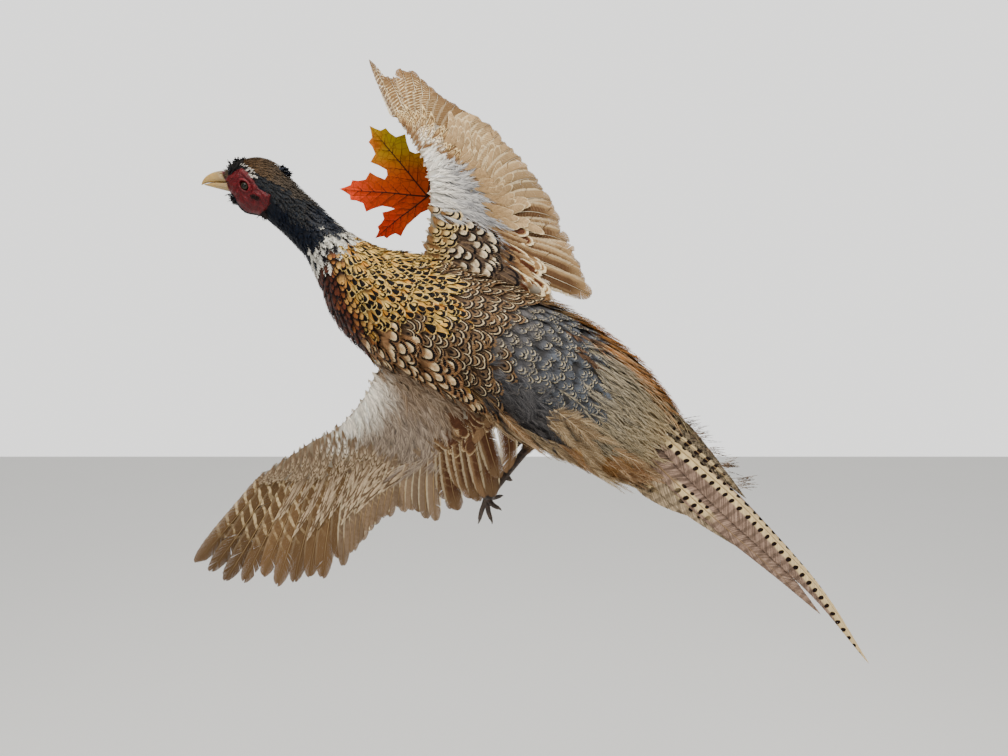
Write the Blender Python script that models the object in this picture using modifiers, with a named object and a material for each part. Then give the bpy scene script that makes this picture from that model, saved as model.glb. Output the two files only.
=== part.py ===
"""A young cock ring-necked pheasant, mounted in flight for a wall, with a cloth maple leaf behind it.

Metres, +Z up. The wall is the plane y = 0 and the bird hangs on its -Y side, back outwards, head
towards -X. The origin is the middle of the hanging plate's back. Long tables are in millimetres.
"""

import math
from collections import namedtuple

import bmesh
import bpy
import numpy as np

MM = 0.001
GAP = 0.3 * MM              # left between solids that touch
OUTWARD = np.array((0.0, -1.0, 0.0))    # from the wall to the room

AROUND = 24                 # facets round the trunk
EYE_RADIUS = 4.4 * MM
EYE_SPREAD = 10.6 * MM      # from the skull's middle plane to an eye's centre
SHEET = 1.2 * MM            # thickness of a fan of flight feathers
TAIL_SHEET = 1.0 * MM
TAIL_LAYER = 1.6 * MM       # from one tail feather to the next, through the tail
LEAF_SHEET = 0.8 * MM

PLATE = (60 * MM, 8 * MM, 80 * MM)
PLATE_BEVEL = 2 * MM
ROD_RADIUS = 5 * MM

Station = namedtuple("Station", "centre half_width above below roll")
Wing = namedtuple("Wing", "leading coverts tips")
Vane = namedtuple("Vane", "path half_width layer")

# The bird's own line from bill to tail root. Roll turns the back from facing the room (0) to
# facing up (90): the head is in profile, and the trunk shows its back and its left breast.
BODY = (
    Station((-199, -170, 132), 7.5, 9.5, 9.0, 90),          # bill's base
    Station((-190.5, -170, 132), 12, 18.5, 19, 90),         # forehead and chin
    Station((-180, -170, 130), 15, 24.5, 24.5, 90),         # crown, eye and wattle
    Station((-169, -170, 126.5), 16, 25, 24, 88),           # ear
    Station((-158, -170, 119), 16.5, 21.5, 21.5, 86),       # nape
    Station((-147, -169, 109), 17, 20.5, 20.5, 82),
    Station((-135, -168, 98), 18, 21, 21, 75),
    Station((-119, -165, 81), 21, 23, 23, 64),              # white collar
    Station((-103, -160, 62), 30, 32, 32, 50),
    Station((-80, -155, 40), 46, 44, 50, 38),               # shoulders
    Station((-47, -150, 21), 57, 50, 60, 31),               # deepest breast
    Station((-11, -147, 6), 60, 50, 62, 29),
    Station((34, -145, -12), 63, 47, 58, 27),
    Station((80, -143, -37), 66, 42, 50, 25),               # hips
    Station((122, -139, -62), 61, 30, 36, 22),
    Station((156, -133, -87), 53, 19, 24, 19),              # rump
    Station((182, -127, -106), 41, 10, 13, 16),             # tail root
)
HEAD_END, NECK_END, TRUNK_END = 4.6, 8.2, 13.4      # where the body is parted, in stations
RINGS_PER_STATION = 2

BILL_ROOT_X = -199.4
UPPER_BILL = (      # x, z, half width, half height
    (BILL_ROOT_X, 137.0, 5.8, 4.6),
    (-206, 137.8, 5.2, 4.3),
    (-213, 137.0, 4.0, 3.6),
    (-218.5, 135.0, 2.6, 2.6),
    (-221.6, 132.6, 1.3, 1.5),
    (-222.8, 130.8, 0.5, 0.6),
)
LOWER_BILL = (
    (BILL_ROOT_X, 128.2, 5.2, 3.4),
    (-206, 129.0, 4.4, 2.6),
    (-213, 129.9, 3.0, 1.7),
    (-218, 130.4, 1.7, 0.9),
    (-220.2, 130.6, 0.6, 0.4),
)

# Each wing is drawn by its leading edge, the line where its coverts end, and the feather tips,
# all run from the body out to the hand.
RIGHT_WING = Wing(
    leading=((-38, -146, 74), (-29, -157, 108), (-33, -150, 148), (-47, -130, 176), (-62, -106, 202)),
    coverts=((76, -130, 38), (54, -118, 83), (31, -108, 135), (-6, -100, 180), (-38, -95, 207),
             (-65, -97, 210)),
    tips=((125, -112, 36), (107, -107, 76), (80, -97, 134), (40, -82, 187), (14, -73, 211),
          (-21, -62, 232), (-60, -50, 264), (-106, -40, 279)),
)
LEFT_WING = Wing(
    leading=((-74, -172, -22), (-84, -182, -48), (-105, -182, -74), (-141, -180, -96),
             (-177, -176, -122)),
    coverts=((29, -162, -72), (-7, -163, -98), (-43, -160, -114), (-91, -160, -121),
             (-138, -161, -130), (-181, -170, -131)),
    tips=((44, -140, -138), (13, -138, -168), (-21, -140, -180), (-54, -148, -164), (-88, -154, -182),
          (-116, -155, -223), (-152, -155, -235), (-205, -155, -235), (-258, -155, -212)),
)
ARM_THICKNESS = 13 * MM         # of the fleshy arm, near the body
HAND_THICKNESS = 5 * MM
COVERT_EDGE = 1.6 * MM
FAN_START = 0.9 * MM            # clear of the coverts' edge
HAND_FROM = 0.62                # the share of the wing, from the body, where the hand begins
TERTIALS_TO = 0.26              # and where the loose inner feathers end

# The tail's own plane starts at the tail root: distance back along it, then towards the left side.
TAIL_TIP = (412, -85, -340)
TAIL = {
    "tail_centre_upper": Vane(((0, -12), (60, -17), (120, -20), (233, -17), (331, 0)), 9.5, 2),
    "tail_centre_lower": Vane(((0, 4), (60, 2), (107, 0), (190, -4), (252, -3)), 15, 1),
    "tail_right_inner": Vane(((0, -22), (60, -28), (108, -29)), 9, 0),
    "tail_left_inner": Vane(((0, 20), (77, 15), (163, 4)), 11, 0),
    "tail_right_outer": Vane(((0, -31), (35, -33), (66, -35)), 8, -1),
    "tail_left_outer": Vane(((0, 31), (40, 28), (80, 21)), 11, -1),
}

Leg = namedtuple("Leg", "hip ankle foot toes")
LEFT_LEG = Leg((86, -112, -72), (60, -97, -114), (25, -114, -153),
               ((12, -111, -186), (26, -122, -183), (35, -128, -168), (37, -103, -160)))
RIGHT_LEG = Leg((104, -86, -50), (96, -62, -84), (62, -48, -110),
                ((36, -38, -124), (38, -50, -128), (46, -58, -124), (72, -42, -124)))
THIGH_RADII = (19 * MM, 17 * MM, 9 * MM, 4.5 * MM)
SHANK_RADIUS = 4.4 * MM
ANKLE_RADIUS = 4.9 * MM
TOE_RADIUS = 2.5 * MM
TOE_BEND = 1.5 * MM             # how far a toe curls past a straight line
SPUR_LENGTH = 7 * MM

LEAF_AT = (-40, -52, 137)       # where the leaf's veins meet
LEAF_TILT = math.radians(8)     # its top leans to the wall
# Lobes of the maple leaf: direction in degrees from +X, length, half width at the teeth.
LEAF_LOBES = ((40, 66, 13), (83, 88, 17), (129, 96, 19), (175, 90, 17), (218, 68, 13))
LEAF_NOTCH = 0.5                # how far in the leaf is cut between lobes
STEM_RADIUS = 1.1 * MM


def millimetres(points):
    return np.array(points, float) * MM


def unit(vector):
    return vector / np.linalg.norm(vector)


def smooth(values, at):
    """A Catmull-Rom curve through evenly spaced values; at runs from 0 to len(values) - 1."""
    values = np.asarray(values, float)
    last = len(values) - 1
    index = int(min(max(math.floor(at), 0), last - 1))
    share = at - index
    here, after = values[index], values[index + 1]
    before = values[index - 1] if index > 0 else 2 * here - after
    beyond = values[index + 2] if index + 2 <= last else 2 * after - here
    return 0.5 * (2 * here + (after - before) * share
                  + (2 * before - 5 * here + 4 * after - beyond) * share ** 2
                  + (3 * here - before - 3 * after + beyond) * share ** 3)


def along(points, share):
    """The same curve, with share from 0 to 1 over its whole run."""
    return smooth(points, share * (len(points) - 1))


def material(name, colour, roughness, metallic=0.0):
    made = bpy.data.materials.new(name)
    made.use_nodes = True
    shader = made.node_tree.nodes["Principled BSDF"]
    shader.inputs["Base Color"].default_value = (*colour, 1.0)
    shader.inputs["Roughness"].default_value = roughness
    shader.inputs["Metallic"].default_value = metallic
    return made


def collection(name):
    made = bpy.data.collections.new(name)
    bpy.context.scene.collection.children.link(made)
    return made


for leftover in list(bpy.data.objects):
    bpy.data.objects.remove(leftover)
pheasant = collection("pheasant")
cutters = collection("cutters")


def place(name, mesh, look=None, home=pheasant):
    made = bpy.data.objects.new(name, mesh)
    home.objects.link(made)
    if look:
        mesh.materials.append(look)
    return made


def loft(name, rings):
    """A closed mesh through rings of equal counts of points, with a flat cap on each end."""
    shape = bmesh.new()
    loops = [[shape.verts.new(point) for point in ring] for ring in rings]
    count = len(loops[0])
    for near, far in zip(loops, loops[1:]):
        for i in range(count):
            j = (i + 1) % count
            shape.faces.new((near[i], near[j], far[j], far[i]))
    shape.faces.new(loops[0])
    shape.faces.new(list(reversed(loops[-1])))
    bmesh.ops.triangulate(shape, faces=shape.faces[:])
    bmesh.ops.recalc_face_normals(shape, faces=shape.faces[:])
    mesh = bpy.data.meshes.new(name)
    shape.to_mesh(mesh)
    shape.free()
    mesh.shade_smooth()
    mesh.set_sharp_from_angle(angle=math.radians(50))
    return mesh


def frame_at(tangent, roll):
    """The bird's left and its back, across a line that runs towards the tail."""
    room = unit(OUTWARD - tangent * (OUTWARD @ tangent))
    upwards = np.cross(room, tangent)
    angle = math.radians(roll)
    back = math.cos(angle) * room + math.sin(angle) * upwards
    left = math.sin(angle) * room - math.cos(angle) * upwards
    return left, back


def body_at(at):
    """Centre, tangent, left, back and the three radii of the body at a place along BODY."""
    centres = millimetres([station.centre for station in BODY])
    step = 0.05
    centre = smooth(centres, at)
    tangent = unit(smooth(centres, min(at + step, len(BODY) - 1)) - smooth(centres, max(at - step, 0)))
    sizes = smooth([(s.half_width, s.above, s.below, s.roll) for s in BODY], at)
    left, back = frame_at(tangent, sizes[3])
    return centre, tangent, left, back, sizes[:3] * MM


def body_ring(at, grow=0.0, shift=0.0):
    centre, tangent, left, back, (half_width, above, below) = body_at(at)
    ring = []
    for k in range(AROUND):
        angle = 2 * math.pi * k / AROUND
        height = above if math.sin(angle) > 0 else below
        ring.append(centre + tangent * shift + left * (half_width + grow) * math.cos(angle)
                    + back * (height + grow) * math.sin(angle))
    return ring


def body_mesh(name, start, end, grow=0.0, shift=0.0):
    steps = round((end - start) * RINGS_PER_STATION) + 1
    places = np.linspace(start, end, steps)
    return loft(name, [body_ring(at, grow, shift if at == start else 0.0) for at in places])


feathers = material("feathers", (0.45, 0.33, 0.2), 0.85)
horn = material("horn", (0.72, 0.62, 0.42), 0.4)
eye_glass = material("eye_glass", (0.03, 0.015, 0.01), 0.08)
scales = material("leg_scales", (0.13, 0.1, 0.085), 0.6)
cloth = material("leaf_cloth", (0.8, 0.28, 0.05), 0.7)
wire = material("wire", (0.12, 0.07, 0.03), 0.6)
painted = material("mount_board", (0.3, 0.2, 0.12), 0.6)
steel = material("rod_steel", (0.5, 0.5, 0.5), 0.35, 1.0)

# Head, neck, trunk and rump: one tapering body, parted across.
END = len(BODY) - 1
head = place("head", body_mesh("head", 0, HEAD_END), feathers)
neck = place("neck", body_mesh("neck", HEAD_END, NECK_END, shift=GAP), feathers)
trunk = place("trunk", body_mesh("trunk", NECK_END, TRUNK_END, shift=GAP), feathers)
rump = place("rump", body_mesh("rump", TRUNK_END, END, shift=GAP), feathers)


def cutter(name, mesh):
    made = place(name, mesh, home=cutters)
    made.hide_render = True
    made.display_type = "WIRE"
    return made


def cut(target, tool, operation="DIFFERENCE"):
    modifier = target.modifiers.new(tool.name, "BOOLEAN")
    modifier.object = tool
    modifier.operation = operation
    modifier.solver = "EXACT"


# What rests against the trunk is cut back to this slightly fatter copy of it.
trunk_cutter = cutter("trunk_clearance", body_mesh("trunk_clearance", NECK_END - 1, END, grow=2 * GAP))


def ball(name, radius, centre, segments=16, rings=10):
    shape = bmesh.new()
    bmesh.ops.create_uvsphere(shape, u_segments=segments, v_segments=rings, radius=radius)
    bmesh.ops.translate(shape, verts=shape.verts, vec=centre)
    mesh = bpy.data.meshes.new(name)
    shape.to_mesh(mesh)
    shape.free()
    mesh.shade_smooth()
    return mesh


# Eyes: glass balls, each in a socket of the skull.
EYE_CENTRE = millimetres((-181.5, -170, 127.5))
for side, direction in (("left", -1), ("right", 1)):
    place_of_eye = EYE_CENTRE + np.array((0, direction * EYE_SPREAD, 0))
    place(f"eye_{side}", ball(f"eye_{side}", EYE_RADIUS, place_of_eye), eye_glass)
    cut(head, cutter(f"socket_{side}", ball(f"socket_{side}", EYE_RADIUS + GAP, place_of_eye)))


def bill(name, rows):
    """A mandible: upright oval sections at x and z, in the skull's middle plane."""
    middle = BODY[0].centre[1]
    rings = []
    for x, z, half_width, half_height in rows:
        angles = [2 * math.pi * k / 12 for k in range(12)]
        rings.append(millimetres([(x, middle + half_width * math.cos(a), z + half_height * math.sin(a))
                                  for a in angles]))
    place(name, loft(name, rings), horn)


bill("bill_upper", UPPER_BILL)
bill("bill_lower", LOWER_BILL)


def wing_frame(wing, share):
    """Leading point, covert point, tip point and the outward normal at a share of the wing."""
    leading, coverts, tips = (along(millimetres(line), share) for line in wing)
    step = 0.02
    nearer, further = max(share - step, 0), min(share + step, 1)
    middle_line = [(along(millimetres(wing.leading), s) + along(millimetres(wing.coverts), s)) / 2
                   for s in (nearer, further)]
    span = unit(middle_line[1] - middle_line[0])
    normal = unit(np.cross(span, tips - leading))
    if normal @ OUTWARD < 0:
        normal = -normal
    return leading, coverts, tips, normal


def arm_ring(wing, share, reach=0.0):
    """One section of the arm, as an aerofoil: round in front and thin where the coverts end."""
    leading, coverts, _, normal = wing_frame(wing, max(share, 0))
    thickness = ARM_THICKNESS + (HAND_THICKNESS - ARM_THICKNESS) * max(share, 0)
    chords = (0.0, 0.06, 0.2, 0.42, 0.7, 1.0)

    def half(chord):
        round_front = math.sqrt(chord) * 1.9 if chord < 0.28 else 1.0
        return max(thickness / 2 * min(round_front, 1.0) * (1 - chord ** 1.5), COVERT_EDGE / 2)

    upper = [leading + (coverts - leading) * c + normal * (half(c) * 1.2) for c in chords[1:]]
    lower = [leading + (coverts - leading) * c - normal * (half(c) * 0.8) for c in reversed(chords[1:])]
    return [point + reach for point in [leading, *upper, *lower]]


def arm(name, wing):
    inner = (along(millimetres(wing.leading), 0) + along(millimetres(wing.coverts), 0)) / 2
    towards_body = body_at(11.5)[0] - inner
    towards_body[1] = 0.0
    rings = [arm_ring(wing, 0.0, unit(towards_body) * 14 * MM)]
    rings += [arm_ring(wing, share) for share in np.linspace(0, 1, 11)]
    made = place(name, loft(name, rings), feathers)
    cut(made, trunk_cutter)


def fan(name, wing, start, end, count, notch, camber=3 * MM, bow=0.0):
    """A spread of overlapping feathers between two shares of the wing, as one scalloped sheet.

    Each is arched outwards by camber, and the outer ones bend by up to bow towards the tip."""
    per_feather, rows = 4, 4
    columns = count * per_feather + 1
    rings = []
    for column in range(columns):
        share = start + (end - start) * column / (columns - 1)
        _, coverts, tips, normal = wing_frame(wing, share)
        across = (column % per_feather) / per_feather
        scallop = notch * abs(2 * across - 1) ** 2.5
        length = np.linalg.norm(tips - coverts)
        first, last = FAN_START / length, 1 - scallop / length
        outer = max(0.0, (share - HAND_FROM) / (1 - HAND_FROM))
        arch = normal * camber + unit(along(millimetres(wing.tips), 1) - along(millimetres(wing.tips), 0.5)) \
            * bow * outer
        line = []
        for row in range(rows):
            run = first + (last - first) * row / (rows - 1)
            line.append(coverts + (tips - coverts) * run + arch * 4 * run * (1 - run))
        half = normal * SHEET / 2
        rings.append([point + half for point in line] + [point - half for point in reversed(line)])
    made = place(name, loft(name, rings), feathers)
    if start == 0:
        cut(made, trunk_cutter)


PART = 0.003        # half of the cut between two fans, as a share of the wing
for side, wing in (("left", LEFT_WING), ("right", RIGHT_WING)):
    arm(f"wing_{side}_arm", wing)
    fan(f"wing_{side}_tertials", wing, 0, TERTIALS_TO - PART, 4, 7 * MM)
    fan(f"wing_{side}_secondaries", wing, TERTIALS_TO + PART, HAND_FROM - PART, 8, 3 * MM)
    fan(f"wing_{side}_primaries", wing, HAND_FROM + PART, 1, 9, 11 * MM, camber=2 * MM, bow=8 * MM)


# Tail: single feathers, stacked through its thickness and fanned from the tail root.
tail_root, tail_tangent, tail_left, _, _ = body_at(END)
tail_along = unit(millimetres(TAIL_TIP) - tail_root)
tail_across = unit(tail_left - tail_along * (tail_left @ tail_along))
tail_out = np.cross(tail_across, tail_along)
if tail_out @ OUTWARD < 0:
    tail_out = -tail_out


def tail_feather(name, vane):
    """A blade that widens quickly from its quill and tapers to a point over its outer half."""
    rows = 12
    rings = []
    for row in range(rows + 1):
        share = row / rows
        far, side = along(vane.path, share)
        widen = min(1.0, 0.45 + share * 3)
        taper = (1 - max(share - 0.35, 0) / 0.65) ** 0.8
        half_width = vane.half_width * max(widen * taper, 0.08) * MM
        centre = (tail_root + tail_along * far * MM + tail_across * side * MM
                  + tail_out * vane.layer * TAIL_LAYER)
        edge, half = tail_across * half_width, tail_out * TAIL_SHEET / 2
        rings.append([centre + edge, centre + half, centre - edge, centre - half])
    sunk = min((point - tail_root) @ tail_tangent for point in rings[0])
    rings[0] = [point + tail_tangent * (GAP - sunk) for point in rings[0]]
    place(name, loft(name, rings), feathers)


for name, vane in TAIL.items():
    tail_feather(name, vane)


def tube(name, points, radii, sides=10):
    """Round sections square to the line through points."""
    points = np.asarray(points, float)
    tangents = [unit(b - a) for a, b in zip(points, points[1:])]
    tangents = [tangents[0], *(unit(a + b) for a, b in zip(tangents, tangents[1:])), tangents[-1]]
    rings = []
    for point, tangent, radius in zip(points, tangents, radii):
        side = unit(np.cross(tangent, OUTWARD))
        other = np.cross(tangent, side)
        rings.append([point + radius * (math.cos(a) * side + math.sin(a) * other)
                      for a in (2 * math.pi * k / sides for k in range(sides))])
    return loft(name, rings)


def leg(side, joints):
    """Feathered thigh, scaled shank with its spur, and a foot of three front toes and one hind toe."""
    hip, ankle, foot = (millimetres(joint) for joint in joints[:3])
    shares = (0, 0.35, 0.75, 1)
    thigh = place(f"thigh_{side}", tube(f"thigh_{side}", [hip + (ankle - hip) * s for s in shares],
                                        THIGH_RADII, 14), feathers)
    cut(thigh, trunk_cutter)

    down, thigh_way = unit(foot - ankle), unit(ankle - hip)
    tilt = math.sqrt(1 - (down @ thigh_way) ** 2)
    start = ankle + thigh_way * (GAP + ANKLE_RADIUS * tilt)
    run = (0, 0.12, 0.6, 1)
    radii = (ANKLE_RADIUS, SHANK_RADIUS, SHANK_RADIUS, SHANK_RADIUS * 1.2)
    shank = place(f"shank_{side}", tube(f"shank_{side}", [start + (foot - start) * s for s in run],
                                        radii), scales)
    spur_root = ankle + (foot - ankle) * 0.62
    spur_way = unit(np.cross(down, OUTWARD))
    spur_way = spur_way if spur_way[0] > 0 else -spur_way
    spur = tube(f"spur_{side}", [spur_root, spur_root + spur_way * (SHANK_RADIUS + SPUR_LENGTH)],
                (1.9 * MM, 0.5 * MM), 6)
    cut(shank, cutter(f"spur_{side}", spur), "UNION")

    knuckle = foot + down * (GAP + SHANK_RADIUS * 1.5)
    pad = place(f"foot_{side}", ball(f"foot_{side}", SHANK_RADIUS * 1.45, knuckle, 10, 6), scales)
    for number, toe in enumerate(joints.toes):
        tip = millimetres(toe)
        bend = knuckle + (tip - knuckle) * 0.55 + down * TOE_BEND
        line = [knuckle, bend, knuckle + (tip - knuckle) * 0.85, tip]
        radii = (TOE_RADIUS * 1.1, TOE_RADIUS, TOE_RADIUS * 0.8, 0.4 * MM)
        cut(pad, cutter(f"toe_{side}_{number}", tube(f"toe_{side}_{number}", line, radii, 8)), "UNION")


leg("left", LEFT_LEG)
leg("right", RIGHT_LEG)


def leaf_outline():
    """Round the leaf, lobe by lobe: a notch, a side tooth, the tip, a side tooth."""
    points = []
    for number, (degrees, length, half_width) in enumerate(LEAF_LOBES):
        angle = math.radians(degrees)
        way = np.array((math.cos(angle), math.sin(angle)))
        side = np.array((-way[1], way[0]))
        if number > 0:
            between = math.radians((degrees + LEAF_LOBES[number - 1][0]) / 2)
            reach = LEAF_NOTCH * (length + LEAF_LOBES[number - 1][1]) / 2
            points.append(np.array((math.cos(between), math.sin(between))) * reach)
        edge = ((0.5, 0.8), (0.68, 1.15), (0.72, 0.65), (0.86, 0.5), (0.87, 0.25))
        for forward, out in (*((f, -o) for f, o in edge), (1.0, 0.0), *reversed(edge)):
            points.append(way * length * forward + side * half_width * out)
    points.append(np.array((-0.1, -0.24)) * LEAF_LOBES[-1][1])
    points.append(np.array((0.24, -0.3)) * LEAF_LOBES[0][1] * 0.5)
    return points


def flat_sheet(name, outline, thickness):
    """A flat outline in X and Z, given an even thickness through Y."""
    curve = bpy.data.curves.new(name, "CURVE")
    curve.dimensions = "2D"
    curve.fill_mode = "BOTH"
    curve.extrude = thickness / 2
    spline = curve.splines.new("POLY")
    spline.points.add(len(outline) - 1)
    for point, (x, z) in zip(spline.points, outline):
        point.co = (x, z, 0, 1)
    spline.use_cyclic_u = True
    made = bpy.data.objects.new(name, curve)
    pheasant.objects.link(made)
    made.rotation_euler = (math.pi / 2 - LEAF_TILT, 0, 0)
    return made


leaf = flat_sheet("leaf", [point * MM for point in leaf_outline()], LEAF_SHEET)
leaf.location = millimetres(LEAF_AT)
leaf.data.materials.append(cloth)

# The leaf's wire stem runs from the middle of its back to the hanging plate.
stem_top = millimetres(LEAF_AT) + np.array((2 * MM, LEAF_SHEET / 2 + GAP + STEM_RADIUS, -4 * MM))
stem_foot = np.array((-12 * MM, -PLATE[1] - GAP - STEM_RADIUS, PLATE[2] / 2 - 6 * MM))
stem_line = [stem_top, stem_top * 0.6 + stem_foot * 0.4 + np.array((0, 6 * MM, 0)), stem_foot]
place("leaf_stem", tube("leaf_stem", [along(stem_line, s) for s in np.linspace(0, 1, 7)],
                        [STEM_RADIUS] * 7, 8), wire)

# Hanging plate, flat on the wall, and the rod that carries the bird.
bpy.ops.mesh.primitive_cube_add(size=1, location=(0, -PLATE[1] / 2, 0))
plate = bpy.context.active_object
plate.name = "stand_wall_plate"
plate.scale = PLATE
bpy.ops.object.transform_apply(location=False, rotation=False, scale=True)
for home in list(plate.users_collection):
    home.objects.unlink(plate)
pheasant.objects.link(plate)
plate.data.materials.append(painted)
rounded = plate.modifiers.new("rounded", "BEVEL")
rounded.width = PLATE_BEVEL
rounded.segments = 2

ROD_END = -0.115                # inside the belly, before it is cut back to it
bpy.ops.mesh.primitive_cylinder_add(vertices=20, radius=ROD_RADIUS, depth=-ROD_END - PLATE[1] - GAP,
                                    location=(0, (ROD_END - PLATE[1] - GAP) / 2, 0),
                                    rotation=(math.pi / 2, 0, 0))
rod = bpy.context.active_object
rod.name = "stand_rod"
for home in list(rod.users_collection):
    home.objects.unlink(rod)
pheasant.objects.link(rod)
rod.data.materials.append(steel)
cut(rod, trunk_cutter)
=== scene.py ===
"""A young cock ring-necked pheasant, mounted in flight: the finish of every piece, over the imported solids.

Metres, +Z up. The wall is the plane y = 0, the bird hangs on its -Y side with its back outwards, and
its head is towards -X. Tables of places are in millimetres, as they are in the solids' own source.
"""

import math

import bmesh
import bpy
import numpy as np
from mathutils import Matrix, Vector, kdtree
from mathutils.geometry import delaunay_2d_cdt


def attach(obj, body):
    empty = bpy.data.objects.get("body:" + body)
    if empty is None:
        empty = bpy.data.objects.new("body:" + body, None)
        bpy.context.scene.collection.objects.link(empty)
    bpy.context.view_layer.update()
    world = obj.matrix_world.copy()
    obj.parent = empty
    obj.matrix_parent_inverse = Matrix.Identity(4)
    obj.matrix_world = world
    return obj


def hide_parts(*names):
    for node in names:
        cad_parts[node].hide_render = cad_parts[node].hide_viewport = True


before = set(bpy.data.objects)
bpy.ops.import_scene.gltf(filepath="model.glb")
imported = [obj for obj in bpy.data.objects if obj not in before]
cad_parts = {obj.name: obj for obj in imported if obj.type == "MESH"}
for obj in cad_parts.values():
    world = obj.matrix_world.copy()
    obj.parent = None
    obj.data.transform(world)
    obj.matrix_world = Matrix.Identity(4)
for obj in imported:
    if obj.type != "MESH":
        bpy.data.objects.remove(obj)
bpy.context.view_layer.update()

# ---- Hanging plate ---------------------------------------------------------------------------------
# A small board of stained wood with rounded edges, flat on the wall. It is sawn with the grain
# upright, sanded and given one coat of dark stain.

MM = 0.001


class Signal:
    """One socket of a finish. Arithmetic on it adds Math nodes and gives the socket of the result."""

    def __init__(self, finish, socket):
        self.finish = finish
        self.socket = socket

    def math(self, operation, *values):
        return self.finish.node("ShaderNodeMath", {"operation": operation}, dict(enumerate(values)))

    def __add__(self, other):
        return self.math("ADD", self, other)

    def __radd__(self, other):
        return self.math("ADD", other, self)

    def __sub__(self, other):
        return self.math("SUBTRACT", self, other)

    def __rsub__(self, other):
        return self.math("SUBTRACT", other, self)

    def __mul__(self, other):
        return self.math("MULTIPLY", self, other)

    def __rmul__(self, other):
        return self.math("MULTIPLY", other, self)

    def __abs__(self):
        return self.math("ABSOLUTE", self)

    def rise(self, start, end):
        """A soft step from 0 at start to 1 at end."""
        inputs = {"Value": self, "From Min": start, "From Max": end}
        return self.finish.node("ShaderNodeMapRange", {"interpolation_type": "SMOOTHSTEP"}, inputs)

    def wave(self):
        return self.math("SINE", self)


class Finish:
    """A material, or the light of a world: one shader and the nodes that feed it."""

    def __init__(self, name, store=bpy.data.materials, shader="Principled BSDF", **constants):
        self.material = store.new(name)
        self.material.use_nodes = True
        self.tree = self.material.node_tree
        self.shader = self.tree.nodes[shader]
        for label, value in constants.items():
            self.shader.inputs[label.replace("_", " ")].default_value = value

    def node(self, kind, settings=None, inputs=None, output=0):
        """Any node: its settings are set first, then its sockets get values or links. It gives one of
        its outputs, by name or number."""
        made = self.tree.nodes.new(kind)
        for key, value in (settings or {}).items():
            setattr(made, key, value)
        for key, value in (inputs or {}).items():
            if isinstance(value, Signal):
                self.tree.links.new(value.socket, made.inputs[key])
            else:
                is_colour = isinstance(value, tuple) and made.inputs[key].type == "RGBA"
                made.inputs[key].default_value = (*value, 1.0) if is_colour else value
        return Signal(self, made.outputs[output])

    def feed(self, **signals):
        for label, signal in signals.items():
            self.tree.links.new(signal.socket, self.shader.inputs[label.replace("_", " ")])

    def mix(self, share, start, end):
        """A colour between two others, whose sockets share their names with those of numbers."""
        return self.node("ShaderNodeMix", {"data_type": "RGBA"}, {0: share, 6: start, 7: end}, 2)

    def tint(self, colour, strength):
        """A colour made lighter or darker by a value."""
        return self.node("ShaderNodeVectorMath", {"operation": "SCALE"}, {0: colour, "Scale": strength})

    def place(self, stretch=(1.0, 1.0, 1.0)):
        """Where a point is on the object, in metres, stretched."""
        where = self.node("ShaderNodeTexCoord", output="Object")
        return self.node("ShaderNodeVectorMath", {"operation": "MULTIPLY"}, {0: where, 1: stretch})

    def noise(self, scale, detail=3.0, where=None):
        inputs = {"Vector": where or self.place(), "Scale": scale, "Detail": detail}
        return self.node("ShaderNodeTexNoise", {}, inputs)

    def cells(self, feature, scale, **inputs):
        """Cells like scales or cracks: how far a point is from a cell's middle or from its edge."""
        inputs = {"Vector": self.place(), "Scale": scale, **inputs}
        return self.node("ShaderNodeTexVoronoi", {"feature": feature}, inputs)

    def attribute(self, name, output="Fac"):
        """What a mesh says of each of its points: a number, a vector or a colour."""
        return self.node("ShaderNodeAttribute", {"attribute_name": name}, output=output)

    def parts(self, vector):
        """The three numbers of a vector."""
        split = self.node("ShaderNodeSeparateXYZ", {}, {0: vector})
        return [Signal(self, output) for output in split.socket.node.outputs]

    def bump(self, height, depth):
        self.feed(Normal=self.node("ShaderNodeBump", {}, {"Height": height, "Distance": depth}))


def finish_node(name, finish):
    """Gives a solid that stays as it is a better material."""
    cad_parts[name].data.materials.clear()
    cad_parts[name].data.materials.append(finish.material)


def stained_board():
    wood = Finish("stained_board", Roughness=0.55)
    grain = wood.noise(60, 5, wood.place((9, 9, 0.6)))
    pores = wood.noise(900, 2, wood.place((6, 6, 0.25)))
    colour = wood.mix(grain.rise(0.35, 0.7), (0.2, 0.105, 0.05), (0.075, 0.036, 0.017))
    wood.feed(Base_Color=wood.mix(pores.rise(0.55, 0.75) * 0.5, colour, (0.03, 0.015, 0.008)))
    wood.bump(grain + pores * 0.5, 0.3 * MM)
    return wood


finish_node("stand_wall_plate", stained_board())

# ---- Carrying rod ----------------------------------------------------------------------------------
# A drawn steel rod, as thick as a pencil, that stands square on the plate and runs up into the
# bird's belly. Drawing has left fine lines along it.


def drawn_steel():
    steel = Finish("drawn_steel", Metallic=1.0)
    lines = steel.noise(500, 2, steel.place((6, 0.2, 6)))
    blotches = steel.noise(70, 4)
    steel.feed(Base_Color=steel.mix(lines.rise(0.3, 0.7), (0.36, 0.355, 0.34), (0.56, 0.55, 0.53)),
               Roughness=0.3 + blotches * 0.3)
    steel.bump(lines, 0.05 * MM)
    return steel


finish_node("stand_rod", drawn_steel())

# ---- Leaf stem -------------------------------------------------------------------------------------
# A wire in brown plastic, moulded with a slight grain. It runs from the middle of the leaf's back
# down to the top of the hanging plate.


def stem_plastic():
    plastic = Finish("stem_plastic", Roughness=0.5)
    grain = plastic.noise(700, 2, plastic.place((3, 3, 0.4)))
    plastic.feed(Base_Color=plastic.mix(grain, (0.05, 0.022, 0.01), (0.16, 0.085, 0.035)))
    plastic.bump(grain, 0.2 * MM)
    return plastic


finish_node("leaf_stem", stem_plastic())

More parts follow.
